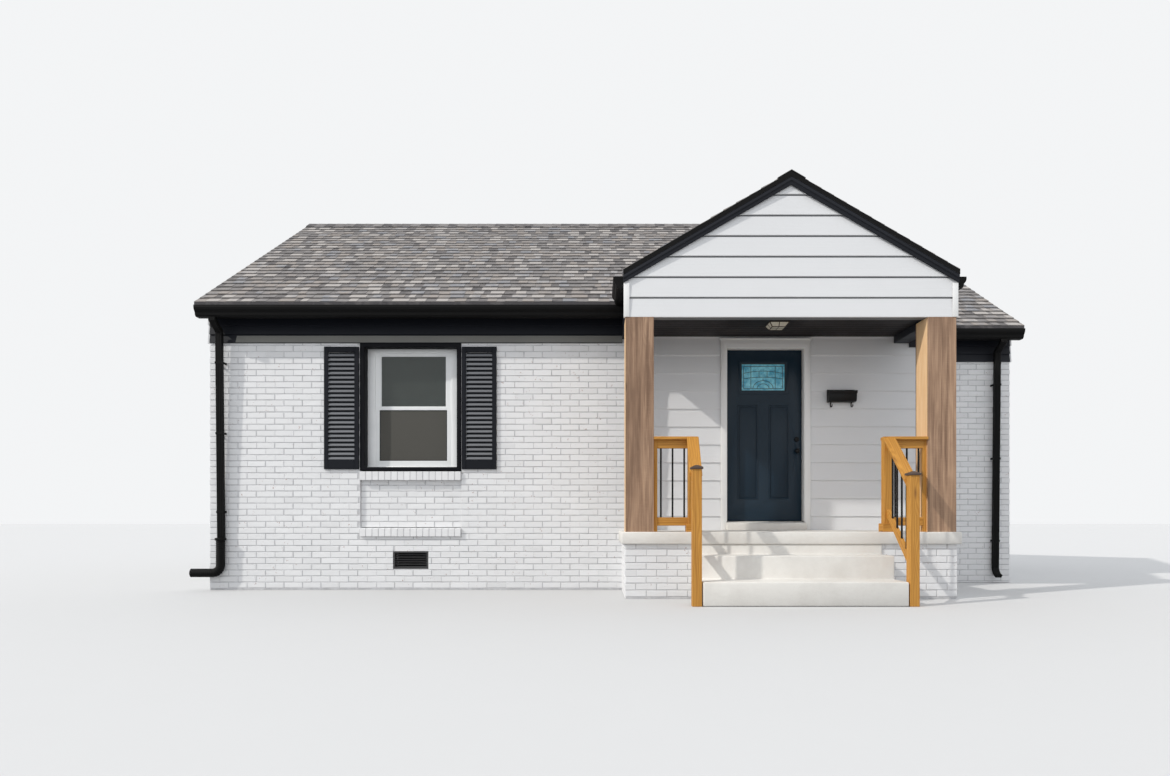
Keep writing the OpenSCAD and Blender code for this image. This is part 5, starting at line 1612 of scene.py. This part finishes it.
    def build(self) -> None:
        """Makes the drains and the low frieze board, and dresses the gutters and edge boards."""
        self.downspouts()
        self.elbow()
        dressed(GUTTER, "eave_gutters", "porch_gutters", "fascias")
        softened(DARK_TRIM, 0.003, "rake_boards", slot="gutter_metal")
        softened(DARK_TRIM, 0.004, "porch_rakes", slot="gutter_metal")
        dressed(DARK_TRIM, "eave_soffits", "frieze_boards")
        self.low_frieze()

    def low_frieze(self) -> None:
        """Makes the pale grey board that leans back under the frieze, from the drain to the porch; its grey is painted
        light on the frieze's lowest course.
        """
        h, shape, near, far = self.h, Shape(), -0.0232, -0.0115
        foot, top, left, right = h.brick_h + 0.004, h.brick_h + 0.083, 0.300, h.porch_x - h.post_out
        shape.prism([place(left, near, foot), place(right, near, foot), place(right, far, top),
                     place(left + 0.012, far, top)], Vector((0, 0.008, 0)))
        shape.piece("frieze_low_board", LOW_FRIEZE_PAINTED_LIGHT, slot="dark_trim")


# ---- Porch


@dataclass
class Porch:
    """Slab, steps, posts, ceiling, gable and light of the entry porch."""

    h: House = SIZES
    post_w: float = 0.290
    post_top: float = 2.881
    ceiling_z: float = 2.959
    ceiling_t: float = 0.020
    ceiling_board: float = 0.089
    beam_w: float = 0.180
    light_w: float = 0.220
    light_foot: float = 0.148
    light_h: float = 0.050
    roof_t: float = 0.0482
    gable_t: float = 0.110
    first_board: float = 0.190
    board_h: float = 0.2105
    board_edge: float = 0.016
    casing_t: float = 0.019

    def build(self) -> None:
        """Makes the porch's pieces."""
        softened(CONCRETE, 0.010, "porch_slab", slot="concrete")
        softened(CONCRETE, 0.012, "porch_steps", slot="concrete")
        softened(DARK_TRIM, 0.004, "porch_beams", slot="dark_trim")
        softened(WHITE_TRIM, 0.002, "corner_boards", slot="white_trim")
        self.gable()
        self.posts()
        self.ceiling()
        self.light()

    def gable(self) -> None:
        """Laps the gable's boards over a dark grey backing, each with a drip edge that shades the one below; the
        backing's grey is painted shade in the gaps.
        """
        h, shape, rng = self.h, Shape(), random.Random(13)
        peak, joint = h.porch_ridge_z - self.roof_t, self.post_top + self.first_board
        front, backing, rear = h.porch_front, h.porch_front + 0.020, h.porch_front + self.gable_t

        def half(z: float) -> float:
            """Half the gable's width at a height."""
            return max(0.0005, min(h.post_out, (peak - z) / h.porch_slope))

        def ring(z: float, near: float, far: float) -> list[Vector]:
            """Level section of the gable."""
            w = half(z)
            return [place(h.porch_x + x, y, z) for x, y in corners((-w, w, near, far))]

        kink = peak - h.porch_slope * h.post_out
        # The backing behind the boards is dark grey, painted shade where it shows between them.
        shape.kind = 1
        shape.tube([ring(z, backing, rear) for z in (self.post_top, kink, peak - 0.001)])
        shape.kind = 0
        low = self.post_top
        while low < peak - 0.02:
            top = min(joint, peak - 0.001)
            foot = low + self.board_edge * (low > self.post_top)
            heights = [foot, foot + 0.003, *([kink] if foot + 0.01 < kink < top - 0.01 else []), top]
            lean = [0.002 + 0.011 * (z - low) / self.board_h for z in heights]
            lean[0] += 0.003
            shape.tube([ring(z, front + a, backing) for z, a in zip(heights, lean)], tone=rng.random())
            low, joint = joint, joint + self.board_h
        shape.piece("porch_gable_boards", [SIDING, PAINTED_LAP_SHADE], replaces=["porch_gable"], slot="siding")

    def posts(self) -> None:
        """Cases each post in four boards that meet at its corners; the side boards take a lighter copy of the timber
        as painted sunlight.
        """
        h, shape, rng = self.h, Shape(), random.Random(11)
        rise, t = lift(self.post_top - h.slab_z), self.casing_t
        reach, inner = self.post_w / 2 - t / 2, self.post_w - 2 * t
        for x in (h.porch_x - h.post_out + self.post_w / 2, h.porch_x + h.post_out - self.post_w / 2):
            middle = place(x, h.porch_front + self.post_w / 2, h.slab_z)
            for kind, d, wide, deep, edge in ((0, Side.FRONT, (self.post_w, 0, 0), (0, t, 0), 0.0025),
                                              (0, Side.BACK, (self.post_w, 0, 0), (0, t, 0), 0.0025),
                                              (1, Side.LEFT, (0, inner, 0), (t, 0, 0), 0.0012),
                                              (1, Side.RIGHT, (0, inner, 0), (t, 0, 0), 0.0012)):
                shape.kind = kind
                foot = middle + d.normal * reach
                shape.board(foot, foot + rise, Vector(wide), Vector(deep), rng, edge)
        shape.piece("post_casings", [POST_TIMBER, POST_SIDE_PAINTED_LIGHT], replaces=["porch_posts"], slot="post_timber")

    def ceiling(self) -> None:
        """Boards the ceiling from side to side."""
        h, shape, rng = self.h, Shape(), random.Random(12)
        left, right = h.porch_x - h.post_out + self.beam_w, h.porch_x + h.post_out - self.beam_w
        front, back = h.porch_front + self.gable_t, h.entry_y
        count = round((back - front) / self.ceiling_board)
        pitch = (back - front) / count
        z = self.ceiling_z + self.ceiling_t / 2
        for i in range(count):
            y = front + (i + 0.5) * pitch
            shape.board(place(left, y, z), place(right, y, z), Vector((0, pitch - 0.0006, 0)), lift(self.ceiling_t),
                        rng, 0.004)
        shape.piece("ceiling_boards", CEILING_PAINT, replaces=["porch_ceiling"], slot="dark_trim")

    def light(self) -> None:
        """Makes the square lantern with bars over cream glass."""
        h, shape = self.h, Shape()
        middle = place(h.porch_x, (h.porch_front + h.entry_y) / 2, self.ceiling_z)
        a, b, top, foot = self.light_w / 2, self.light_foot / 2, -0.006, -self.light_h

        def ring(half: float, z: float) -> list[Vector]:
            """Level square round the lantern's middle."""
            return [middle + Vector((sx * half, sy * half, z)) for sx, sy in ((-1, -1), (-1, 1), (1, 1), (1, -1))]

        shape.tube([ring(a, 0.0), ring(a, top)])
        shape.kind = 1
        shape.tube([ring(a - 0.006, top), ring(b - 0.004, foot + 0.001)])
        shape.kind = 0
        high, low, rim = ring(a, top), ring(b, foot), ring(a, top + 0.002)
        mid_high, mid_low = ([(r[i] + r[(i + 1) % 4]) / 2 for i in range(4)] for r in (high, low))
        for i in range(4):
            j = (i + 1) % 4
            for p, q in ((high[i], low[i]), (low[i], low[j]), (rim[i], rim[j]), (mid_high[i], mid_low[i])):
                self.bar(shape, p, q, middle)
        for p, q in ((mid_low[0], mid_low[2]), (mid_low[1], mid_low[3])):
            self.bar(shape, p, q, middle)
        shape.piece("porch_lantern", [LAMP_METAL, LAMP_GLASS], replaces=["porch_light"], slot="lamp")

    def bar(self, shape: Shape, p: Vector, q: Vector, middle: Vector, size: float = 0.008) -> None:
        """Adds a square bar from p to q, drawn in so that it stays inside the lantern's outline.

        Args:
            shape: Shape to add to.
            p: One end.
            q: Other end.
            middle: Middle of the lantern.
            size: Width of the bar.
        """
        inward = Vector((middle.x, middle.y, p.z)) - (p + q) / 2
        inward.z = 0
        inward = inward.normalized() * size / 2 if inward.length > 1e-6 else Vector()
        p, q = p + inward + lift(size / 2), q + inward + lift(size / 2)
        along = (q - p).normalized()
        side = along.cross(lift(1))
        side = (side if side.length > 1e-3 else Vector((1, 0, 0))).normalized() * size / 2
        up = side.cross(along).normalized() * size / 2
        shape.prism([p - side - up, p + side - up, p + side + up, p - side + up][::-1], q - p)


@dataclass
class Railings:
    """Timber railings with round balusters on both sides of the steps."""

    h: House = SIZES
    newel: float = 0.089
    newel_x: float = 1.003
    low_newel_x: float = 1.015
    stair_off: float = 0.035
    newel_lift: float = 0.029
    rail_back: float = 0.050
    rail_up: float = 0.975
    cap_t: float = 0.031
    cap_w: float = 0.120
    sub_h: float = 0.086
    rail_t: float = 0.038
    rail_gap: float = 0.063
    low_h: float = 1.255
    stair_top: float = 1.222
    stair_foot: float = 0.390
    tread: float = 0.330
    post_w: float = 0.290
    skirt_t: float = 0.019
    skirt_h: float = 0.086

    def side(self, sign: int, name: str, node: str) -> None:
        """Makes the railing on one side.

        Args:
            sign: -1 for the left, 1 for the right.
            name: Name of the piece.
            node: CAD node that it stands for.
        """
        h, shape, rng = self.h, Shape(), random.Random(40 + sign)

        def at(off: float, y: float, z: float) -> Vector:
            """Point at an offset from the porch's middle."""
            return place(h.porch_x + sign * off, y, z)

        n, t, cap = self.newel, self.skirt_t, self.cap_t
        floor, top, skirt = h.slab_z, h.slab_z + self.rail_up, h.slab_z + self.skirt_h / 2
        rail_y, post_in = h.porch_front + self.rail_back, h.post_out - self.post_w
        x_up, x_low, rise = self.newel_x, self.low_newel_x - sign * self.stair_off, -sign * self.newel_lift
        low_y = h.porch_front - 2 * self.tread + n / 2 + 0.005

        def beam(p: Point, q: Point, wide: Point, deep: Point, edge: float = 0.003) -> None:
            """Adds a timber between two such points."""
            shape.board(at(*p), at(*q), Vector(wide), Vector(deep), rng, edge)

        beam((x_up, rail_y, floor), (x_up, rail_y, top - cap), (n, 0, 0), (0, n, 0))
        s = n / 2 + t
        for y in (rail_y - n / 2 - t / 2, rail_y + n / 2 + t / 2):
            beam((x_up - s, y, skirt), (x_up + s, y, skirt), (0, 0, self.skirt_h), (0, t, 0), 0.002)
        for x in (x_up - n / 2 - t / 2, x_up + n / 2 + t / 2):
            beam((x, rail_y - n / 2, skirt), (x, rail_y + n / 2, skirt), (0, 0, self.skirt_h), (t, 0, 0), 0.002)
        x = post_in - self.rail_t / 2
        beam((x, rail_y, floor), (x, rail_y, top - cap), (self.rail_t, 0, 0), (0, self.rail_t, 0))
        beam((post_in, rail_y, top - cap / 2), (x_up - n / 2, rail_y, top - cap / 2), (0, self.cap_w, 0), (0, 0, cap),
             0.004)
        for z in (top - cap - self.sub_h / 2, floor + self.rail_gap + self.sub_h / 2):
            beam((post_in - self.rail_t, rail_y, z), (x_up, rail_y, z), (0, self.rail_t, 0), (0, 0, self.sub_h))
        beam((x_low, low_y, 0.0), (x_low, low_y, self.low_h + rise), (n, 0, 0), (0, n, 0))
        for z, height, width in ((self.stair_top, cap, self.cap_w), (self.stair_top - cap, self.sub_h, self.rail_t),
                                 (self.stair_foot + self.sub_h, self.sub_h, self.rail_t)):
            ends = [(x_low, low_y + n / 2, z + rise), (x_up, rail_y - n / 2, z + top - self.stair_top)]
            self.sloping(shape, at, ends, height, width, rng)
        shape.piece(name, RAIL_TIMBER, replaces=[node], slot="rail_timber")

    def sloping(self, shape: Shape, at: Callable[[float, float, float], Vector], ends: Sequence[Point],
                height: float, width: float, rng: random.Random) -> None:
        """Adds a rail that climbs between the newels, its ends cut upright.

        Args:
            shape: Shape to add to.
            at: Turns an offset from the porch's middle, a depth and a height into a point.
            ends: Offset, depth and height of the rail's top at its lower and upper end.
            height: Upright depth of the rail.
            width: Width of the rail.
            rng: Source of its grain.
        """
        w, e = width / 2, 0.003
        ring = [(-w + e, 0.0), (w - e, 0.0), (w, -e), (w, -height + e), (w - e, -height), (-w + e, -height),
                (-w, -height + e), (-w, -e)]
        rises = [lambda a, b, x=x, y=y, z=z: at(x + a, y, z + b) for x, y, z in ends]
        shape.timber(ring, rises, [y * 1.25 for _, y, _ in ends], rng, rises[0](w, 0).x > rises[0](-w, 0).x)

    def build(self) -> None:
        """Makes both railings and dresses the balusters and caps."""
        self.side(-1, "left_railing_timbers", "left_railing")
        self.side(1, "right_railing_timbers", "right_railing")
        dressed(BLACK_METAL, "balusters")
        softened(CAP_METAL, 0.0025, "newel_caps", slot="black_metal")


# ---- Entry


@dataclass
class Entry:
    """Siding, door frame, door with its glass, fittings and the wall mailbox."""

    h: House = SIZES
    lite_w: float = 0.532
    lite_h: float = 0.333
    lite_top: float = 2.667
    lite_y: float = 0.318
    lite_t: float = 0.012
    margin: float = 0.034
    came_half: float = 0.0028
    came_t: float = 0.002
    rim_w: float = 0.010
    rim_t: float = 0.012
    leaf_y: float = 0.296
    leaf_foot: float = 0.792
    panel_x: float = 0.185
    panel_half: float = 0.120
    panel_foot: float = 0.259
    panel_h: float = 1.114
    casing_half: float = 0.526
    casing_top: float = 2.925

    def build(self) -> None:
        """Dresses the entry wall and makes the door's glass, mouldings and drip cap."""
        dressed(SIDING, "entry_wall_left", "entry_wall_right", "entry_wall_head")
        softened(WHITE_TRIM, 0.004, "door_frame", slot="white_trim")
        softened(CONCRETE, 0.004, "door_sill", slot="concrete")
        softened(DOOR_PAINT, 0.0035, "front_door", body=DOOR, slot="door_paint")
        softened(BLACK_METAL, 0.0012, "mailbox", slot="black_metal")
        softened(BLACK_METAL, 0.0012, "mailbox_lid", body=LID, slot="black_metal")
        for node, body in (("door_knob", KNOB), ("deadbolt", DOOR), ("door_hinges", HOUSE)):
            copied(node, BLACK_METAL, body, smooth=35)
        self.lite()
        self.mouldings()
        self.drip_cap()

    def mouldings(self) -> None:
        """Frames both panels of the leaf with a planted moulding on its front."""
        shape, foot = Shape(), self.leaf_foot + self.panel_foot
        profile = [(0.0, 0.0), (0.002, 0.0055), (0.008, 0.0070), (0.013, 0.0035), (0.019, 0.0)]
        for middle in (-self.panel_x, self.panel_x):
            x = self.h.porch_x + middle
            panel = (x - self.panel_half, x + self.panel_half, foot, foot + self.panel_h)
            shape.tube([[place(u, self.leaf_y - out, z) for u, z in corners(panel, inset)] for inset, out in profile],
                       closed=False)
        shape.piece("door_mouldings", DOOR_PAINT, body=DOOR, slot="door_paint")

    def drip_cap(self) -> None:
        """Makes the thin cap over the door's casing."""
        shape = Shape()
        c, z = self.casing_half + 0.012, self.casing_top
        outline = [(0.2, z), (0.163, z), (0.161, z + 0.006), (0.2, z + 0.016)]
        points = [place(self.h.porch_x - c, y, height) for y, height in outline]
        shape.prism(points[::-1], Vector((2 * c, 0, 0)))
        shape.piece("door_drip_cap", WHITE_TRIM, slot="white_trim")

    def leading(self) -> list[list[tuple[float, float]]]:
        """Lines of the leading over the glass, in a plain arched layout, as (across, height).

        Returns:
            Corners of each line.
        """
        w, z0, z1, m = self.lite_w / 2, self.lite_top - self.lite_h, self.lite_top, self.margin
        field = corners((-w, w, z0, z1), m)
        arch = [(0.120 * math.cos(a), z0 + m + 0.095 * math.sin(a)) for a in (math.pi * i / 14 for i in range(15))]
        lines = [[*field, field[0]], arch, [(0.6 * x, z0 + m + 0.6 * (z - z0 - m)) for x, z in arch]]
        bands = ((0.150, 0.020), (0.215, 0.028))
        for height, sag in bands:
            lines.append([(x * (w - m), z0 + height + sag * (1 - x * x)) for x in (i / 8 - 1 for i in range(17))])
        for x in (-0.145, -0.048, 0.048, 0.145):
            lines.append([(x, z0 + height + sag * (1 - (x / w) ** 2)) for height, sag in bands])
        for x in (-0.145, 0.145):
            lines += [[(x, z0 + m), (x, z0 + 0.152)], [(x, z0 + 0.235), (x, z1 - m)]]
        return [*lines, [(0.0, z0 + m + 0.095), (0.0, z0 + 0.152)]]

    def lite(self) -> None:
        """Makes the door's glass, with cames and a rim on both its faces."""
        h, glass, came = self.h, Shape(), Shape()
        w, z0, z1, y = self.lite_w / 2, self.lite_top - self.lite_h, self.lite_top, self.lite_y
        base = [place(h.porch_x + u, y - self.lite_t / 2, z) for u, z in corners((-w, w, z0, z1))]
        glass.prism(base[::-1], Vector((0, self.lite_t, 0)))
        glass.piece("door_lite_glass", DOOR_GLASS, body=DOOR, replaces=["door_lite"], slot="door_glass")
        for line in self.leading():
            for (a, b), (c, d) in zip(line, line[1:]):
                p, q = Vector((a, 0, b)), Vector((c, 0, d))
                side = (q - p).normalized().cross(Vector((0, 1, 0))) * self.came_half
                for front in (-1, 1):
                    points = [place(h.porch_x + v.x, y + front * self.lite_t / 2, v.z)
                              for v in (p - side, q - side, q + side, p + side)]
                    came.prism(points if front > 0 else points[::-1], Vector((0, front * self.came_t, 0)))
        r = self.rim_w
        for front in (-1, 1):
            for rim in ((-w, w, z0, z0 + r), (-w, w, z1 - r, z1), (-w, -w + r, z0, z1), (w - r, w, z0, z1)):
                points = [place(h.porch_x + u, y + front * self.lite_t / 2, z) for u, z in corners(rim)]
                came.prism(points if front < 0 else points[::-1], Vector((0, front * self.rim_t, 0)))
        came.piece("door_lite_cames", LEAD, body=DOOR, slot="door_glass")


# ---- Rest of the house, light and camera


@dataclass
class Shell:
    """Gables, rooms and the other plain surfaces."""

    def build(self) -> None:
        """Dresses the CAD nodes that keep their shape."""
        dressed(SIDING, "left_gable", "right_gable", "main_right_gable")
        dressed(OAK, "house_floor")
        dressed(PLASTER, "house_ceiling")


@dataclass
class Studio:
    """Pale floor, daylight and the camera of the reference view."""

    eye: Point = (-0.395, -10.737, 0.826)
    focal_px: float = 725.0
    image_w: int = 1170
    image_h: int = 776
    centre_px: tuple[float, float] = (595.0, 518.0)
    pale: float = 0.60
    bounce: float = 0.30
    floor_half: float = 90.0
    floor_z: float = -0.002
    fill: Colour = (0.93, 0.96, 1.0)
    fill_strength: float = 1.05
    backdrop: Colour = (0.90, 0.91, 0.92)
    sun_energy: float = 2.10
    sun_width: float = 1.2
    sun_colour: Colour = (1.0, 0.965, 0.91)
    sun_azimuth: float = -63.0
    sun_height: float = 37.0

    def build(self) -> None:
        """Makes the stage, the light and the camera."""
        self.floor()
        self.world()
        self.sun()
        self.camera()

    def floor(self) -> None:
        """Lays the pale floor."""
        mesh = bpy.data.meshes.new("studio_floor")
        r = self.floor_half
        mesh.from_pydata([(x, y, self.floor_z) for x, y in corners((-r, r, -r, r))], [], [(0, 1, 2, 3)])
        g = Graph("studio_floor")
        grain = g.noise(3.0, 2)
        colour = g.over(grain, 0.3, 0.7, 0.1, (self.pale,) * 3, (self.pale * 0.96,) * 3)
        seen = g.node("ShaderNodeLightPath").outputs["Is Camera Ray"]
        mesh.materials.append(g.finish(g.mix(seen, (self.bounce,) * 3, colour), 0.9))
        obj = bpy.data.objects.new("studio_floor", mesh)
        bpy.context.scene.collection.objects.link(obj)

    def world(self) -> None:
        """Fills in from all round, and shows a pale background to the camera and in reflections."""
        world = bpy.data.worlds.new("studio")
        world.use_nodes = True
        tree = world.node_tree
        tree.nodes.clear()
        path, mix, out = (tree.nodes.new(kind) for kind in ("ShaderNodeLightPath", "ShaderNodeMixShader",
                                                            "ShaderNodeOutputWorld"))
        for i, colour, strength in ((1, self.fill, self.fill_strength), (2, self.backdrop, 1.0)):
            light = tree.nodes.new("ShaderNodeBackground")
            light.inputs[0].default_value, light.inputs[1].default_value = (*colour, 1.0), strength
            tree.links.new(light.outputs[0], mix.inputs[i])
        seen = path.outputs["Is Camera Ray"]
        for name in ("Is Glossy Ray", "Is Transmission Ray"):
            either = tree.nodes.new("ShaderNodeMath")
            either.operation = "MAXIMUM"
            tree.links.new(seen, either.inputs[0])
            tree.links.new(path.outputs[name], either.inputs[1])
            seen = either.outputs[0]
        tree.links.new(seen, mix.inputs[0])
        tree.links.new(mix.outputs[0], out.inputs[0])
        bpy.context.scene.world = world

    def sun(self) -> None:
        """Hangs the key light to the front left."""
        data = bpy.data.lights.new("key", "SUN")
        data.energy, data.angle, data.color = self.sun_energy, math.radians(self.sun_width), self.sun_colour
        lamp = bpy.data.objects.new("key", data)
        azimuth, height = math.radians(self.sun_azimuth), math.radians(self.sun_height)
        flat = math.cos(height)
        towards = Vector((math.sin(azimuth) * flat, -math.cos(azimuth) * flat, math.sin(height)))
        lamp.rotation_mode = "QUATERNION"
        lamp.rotation_quaternion = towards.to_track_quat("Z", "Y")
        bpy.context.scene.collection.objects.link(lamp)

    def camera(self) -> None:
        """Sets the camera level in front of the house, framed by a small shift."""
        data = bpy.data.cameras.new("front_view")
        data.sensor_width = 36.0
        data.lens = self.focal_px / self.image_w * data.sensor_width
        data.shift_x = (self.image_w / 2 - self.centre_px[0]) / self.image_w
        data.shift_y = (self.centre_px[1] - self.image_h / 2) / self.image_w
        data.clip_end = 400.0
        obj = bpy.data.objects.new("front_view", data)
        obj.location = self.eye
        obj.rotation_euler = (math.radians(90), 0.0, 0.0)
        bpy.context.scene.collection.objects.link(obj)
        bpy.context.scene.camera = obj


def main() -> None:
    """Builds the house's looks in order."""
    logging.basicConfig(level=logging.INFO, format="%(name)s: %(message)s")
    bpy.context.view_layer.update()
    scene = bpy.context.scene
    scene.view_settings.view_transform = "Standard"
    Studio().build()
    front, gap, wide = OPENINGS.front_x, 0.010, OPENINGS.width / 2
    parts = [Brickwork(), Shingling(), Shell(), SashWindows(),
             Shutter(front - wide - gap - Shutter.width, "left_shutter"),
             Shutter(front + wide + gap, "right_shutter"),
             RainGoods(), Porch(), Railings(), Entry()]
    for part in parts:
        part.build()
        log.info("%s done", type(part).__name__)


if __name__ == "__main__":
    main()
